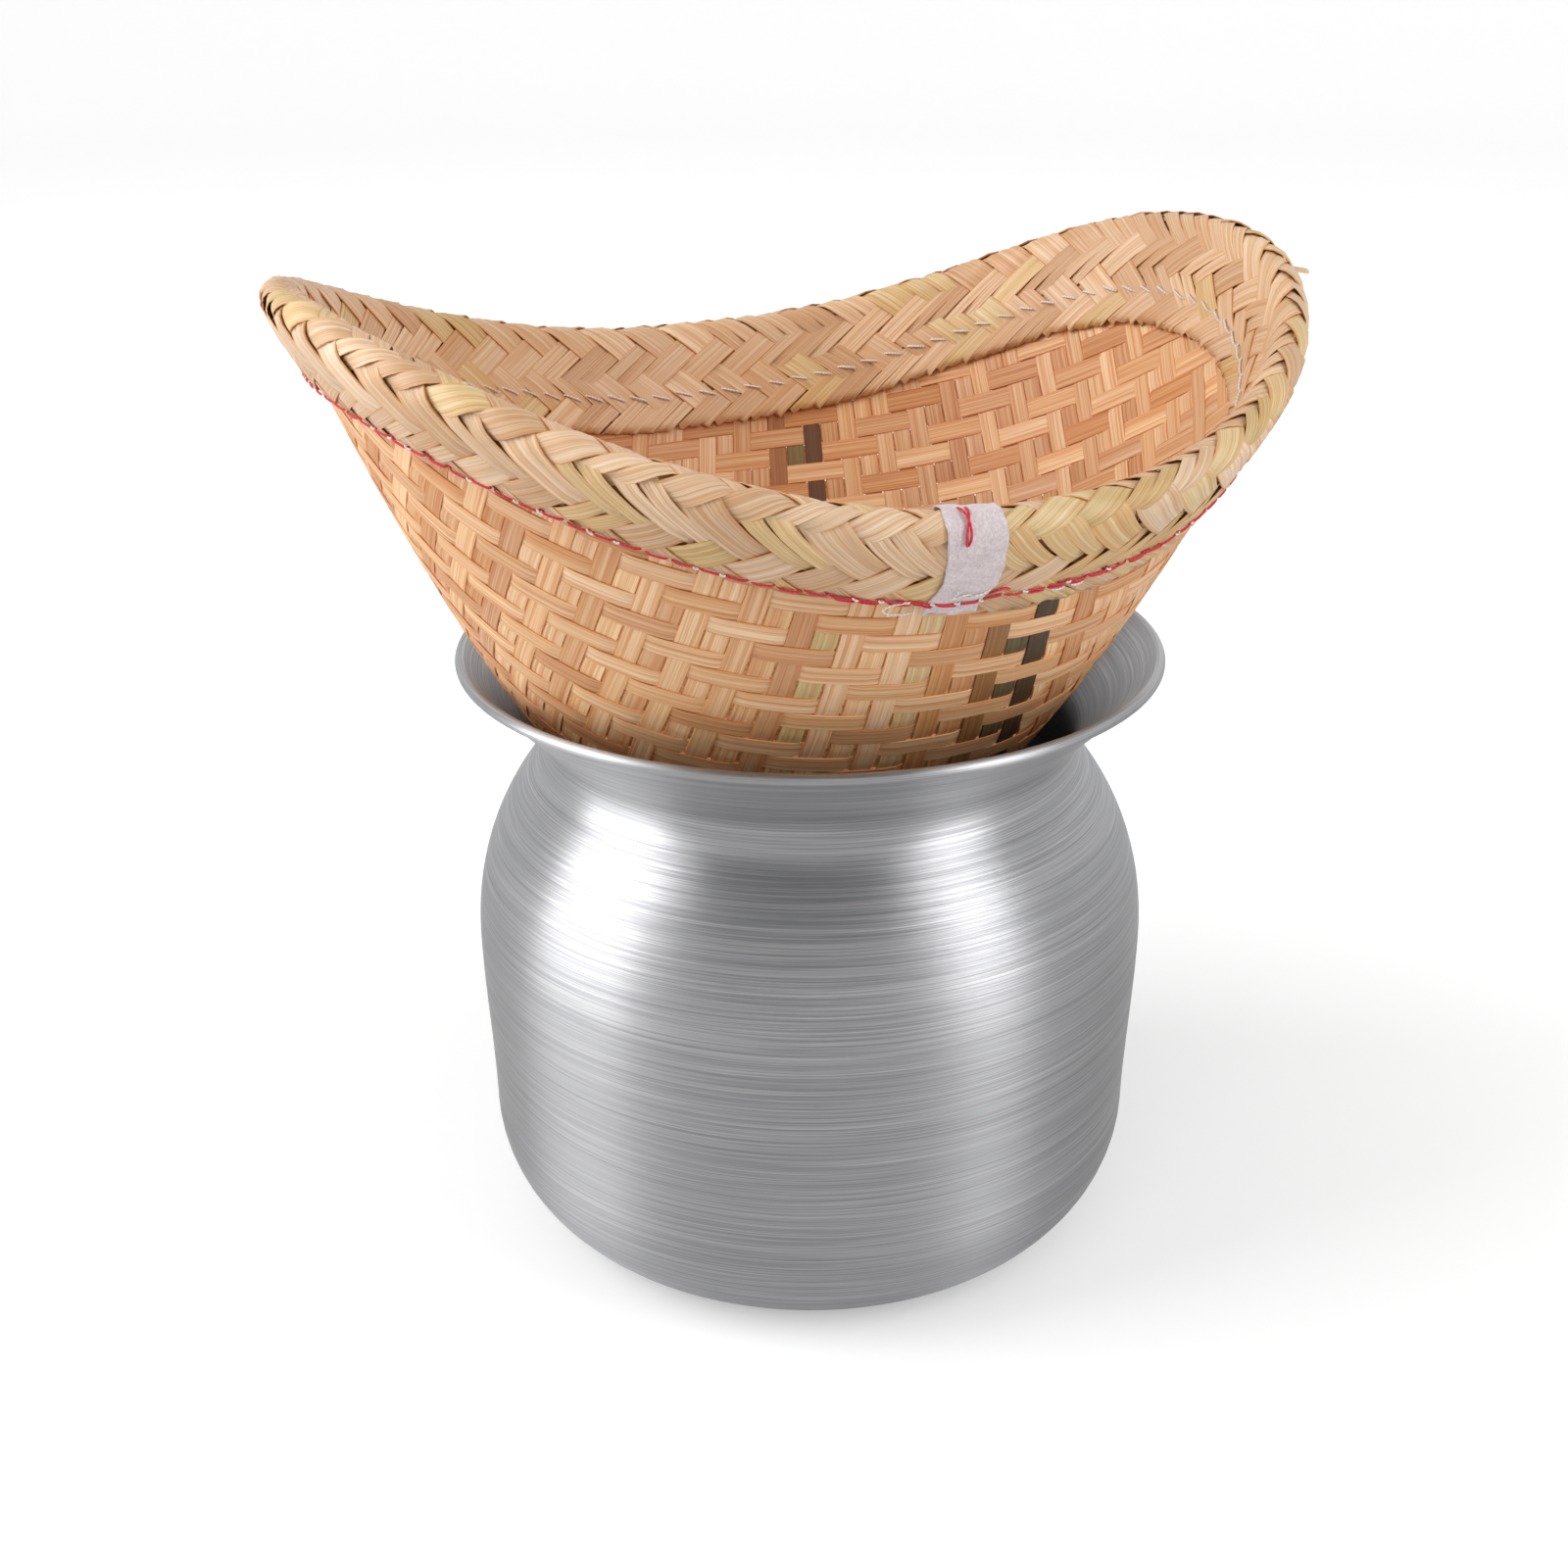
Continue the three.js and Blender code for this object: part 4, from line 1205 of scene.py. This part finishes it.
def clothMaterial():
    v = cloth
    material, tree, shader = newMaterial("feltedCloth")
    place = objectPlace(tree)
    fibres, clouds, fine = (stretchedNoise(tree, place, *v[name]) for name in ("fibres", "clouds", "fine"))
    tone = mixColors(tree, spread(tree, fibres, 0.35, 0.65, 0, 1), v["dark"], v["light"])
    tone = mixColors(tree, spread(tree, clouds, 0.4, 0.7, 0, v["cloudMix"]), tone, v["cloudTone"])
    setInputs(tree, shader, {
        "Base Color": tone, "Roughness": v["roughness"], "Specular IOR Level": v["specular"],
        "Sheen Weight": v["sheen"]})
    addBump(tree, shader, [(fibres, *v["fibreBump"]), (fine, *v["fineBump"])])
    return material


def makeTag():
    v = tag
    u, run = np.meshgrid(np.linspace(-0.5, 0.5, v["cellsAcross"] + 1),
                         np.linspace(v["outsideRun"], v["insideRun"], v["cellsAlong"] + 1), indexing="ij")
    distance = tagCentre(run) + u * v["width"]
    distance += np.abs(u) * 2 * np.sign(u) * sum(a * np.sin(run * b + c) for a, b, c in v["fray"])
    tail = smooth((run - v["tailFrom"]) / v["tailLength"])
    run = run + tail * sum(a * np.sin(u * b + c) for a, b, c in v["wave"])
    # creases, the seam's pull, and free edges that lift a little
    height = v["height"] + sum(a * np.sin(run * b + u * c) for a, b, c in v["creases"])
    height -= (v["height"] - v["seamHeight"]) * np.exp(-((run - seam["redRun"]) / v["seamReach"]) ** 2)
    height += v["tailLift"] * tail * smooth((np.abs(u) - 0.3) / 0.2)
    height += v["cornerLift"] * smooth((run - v["cornerFrom"]) / v["cornerLength"]) * smooth((0.1 - u) / 0.5)
    height = np.maximum(height, v["seamHeight"])
    top, normal = overBand(turnAt(distance), run, height)
    under = top - normal * v["cloth"]
    rows, columns = top.shape[:2]
    points = list((top * mm).reshape(-1, 3)) + list((under * mm).reshape(-1, 3))
    back = rows * columns
    faces = []
    for i in range(rows - 1):
        for j in range(columns - 1):
            a, d = i * columns + j, (i + 1) * columns + j
            faces += [(d, d + 1, a + 1, a), (back + a, back + a + 1, back + d + 1, back + d)]
    rim = [i * columns for i in range(rows)] + [(rows - 1) * columns + j for j in range(1, columns)]
    rim += [i * columns + columns - 1 for i in range(rows - 2, -1, -1)] + list(range(columns - 2, 0, -1))
    faces += [(back + a, back + b, b, a) for a, b in zip(rim, rim[1:] + rim[:1])]
    return meshObject("cloth_tag", points, faces)


clothTag = makeTag()
clothTag.data.materials.append(clothMaterial())
addPiece(clothTag, "basket", "joint_tag")

tiePaths = [(curvedPath(leg, 14, tag["centre"] + tieValues["side"]), 1.0) for leg in tieValues["legs"]]
threadPiece("tag_tie_thread", tiePaths, tieValues["radius"], redCotton, "tag_tie")

# The loose splint end keeps its CAD shape
splintEndValues = dict(
    fibres=((2200, 2200, 260), 3.0, 0.6), dark=srgb(204, 168, 124), light=srgb(238, 212, 174),
    roughness=0.6, bump=(0.4, 0.0002),
)


def splintEndMaterial():
    v = splintEndValues
    material, tree, shader = newMaterial("splintEndBamboo")
    fibres = stretchedNoise(tree, objectPlace(tree), *v["fibres"])
    tone = mixColors(tree, spread(tree, fibres, 0.3, 0.7, 0, 1), v["dark"], v["light"])
    setInputs(tree, shader, {"Base Color": tone, "Roughness": v["roughness"]})
    addBump(tree, shader, [(fibres, *v["bump"])])
    return material


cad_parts["loose_splint_end"].material_slots[0].material = splintEndMaterial()
print("threads, tag and tie laid on")
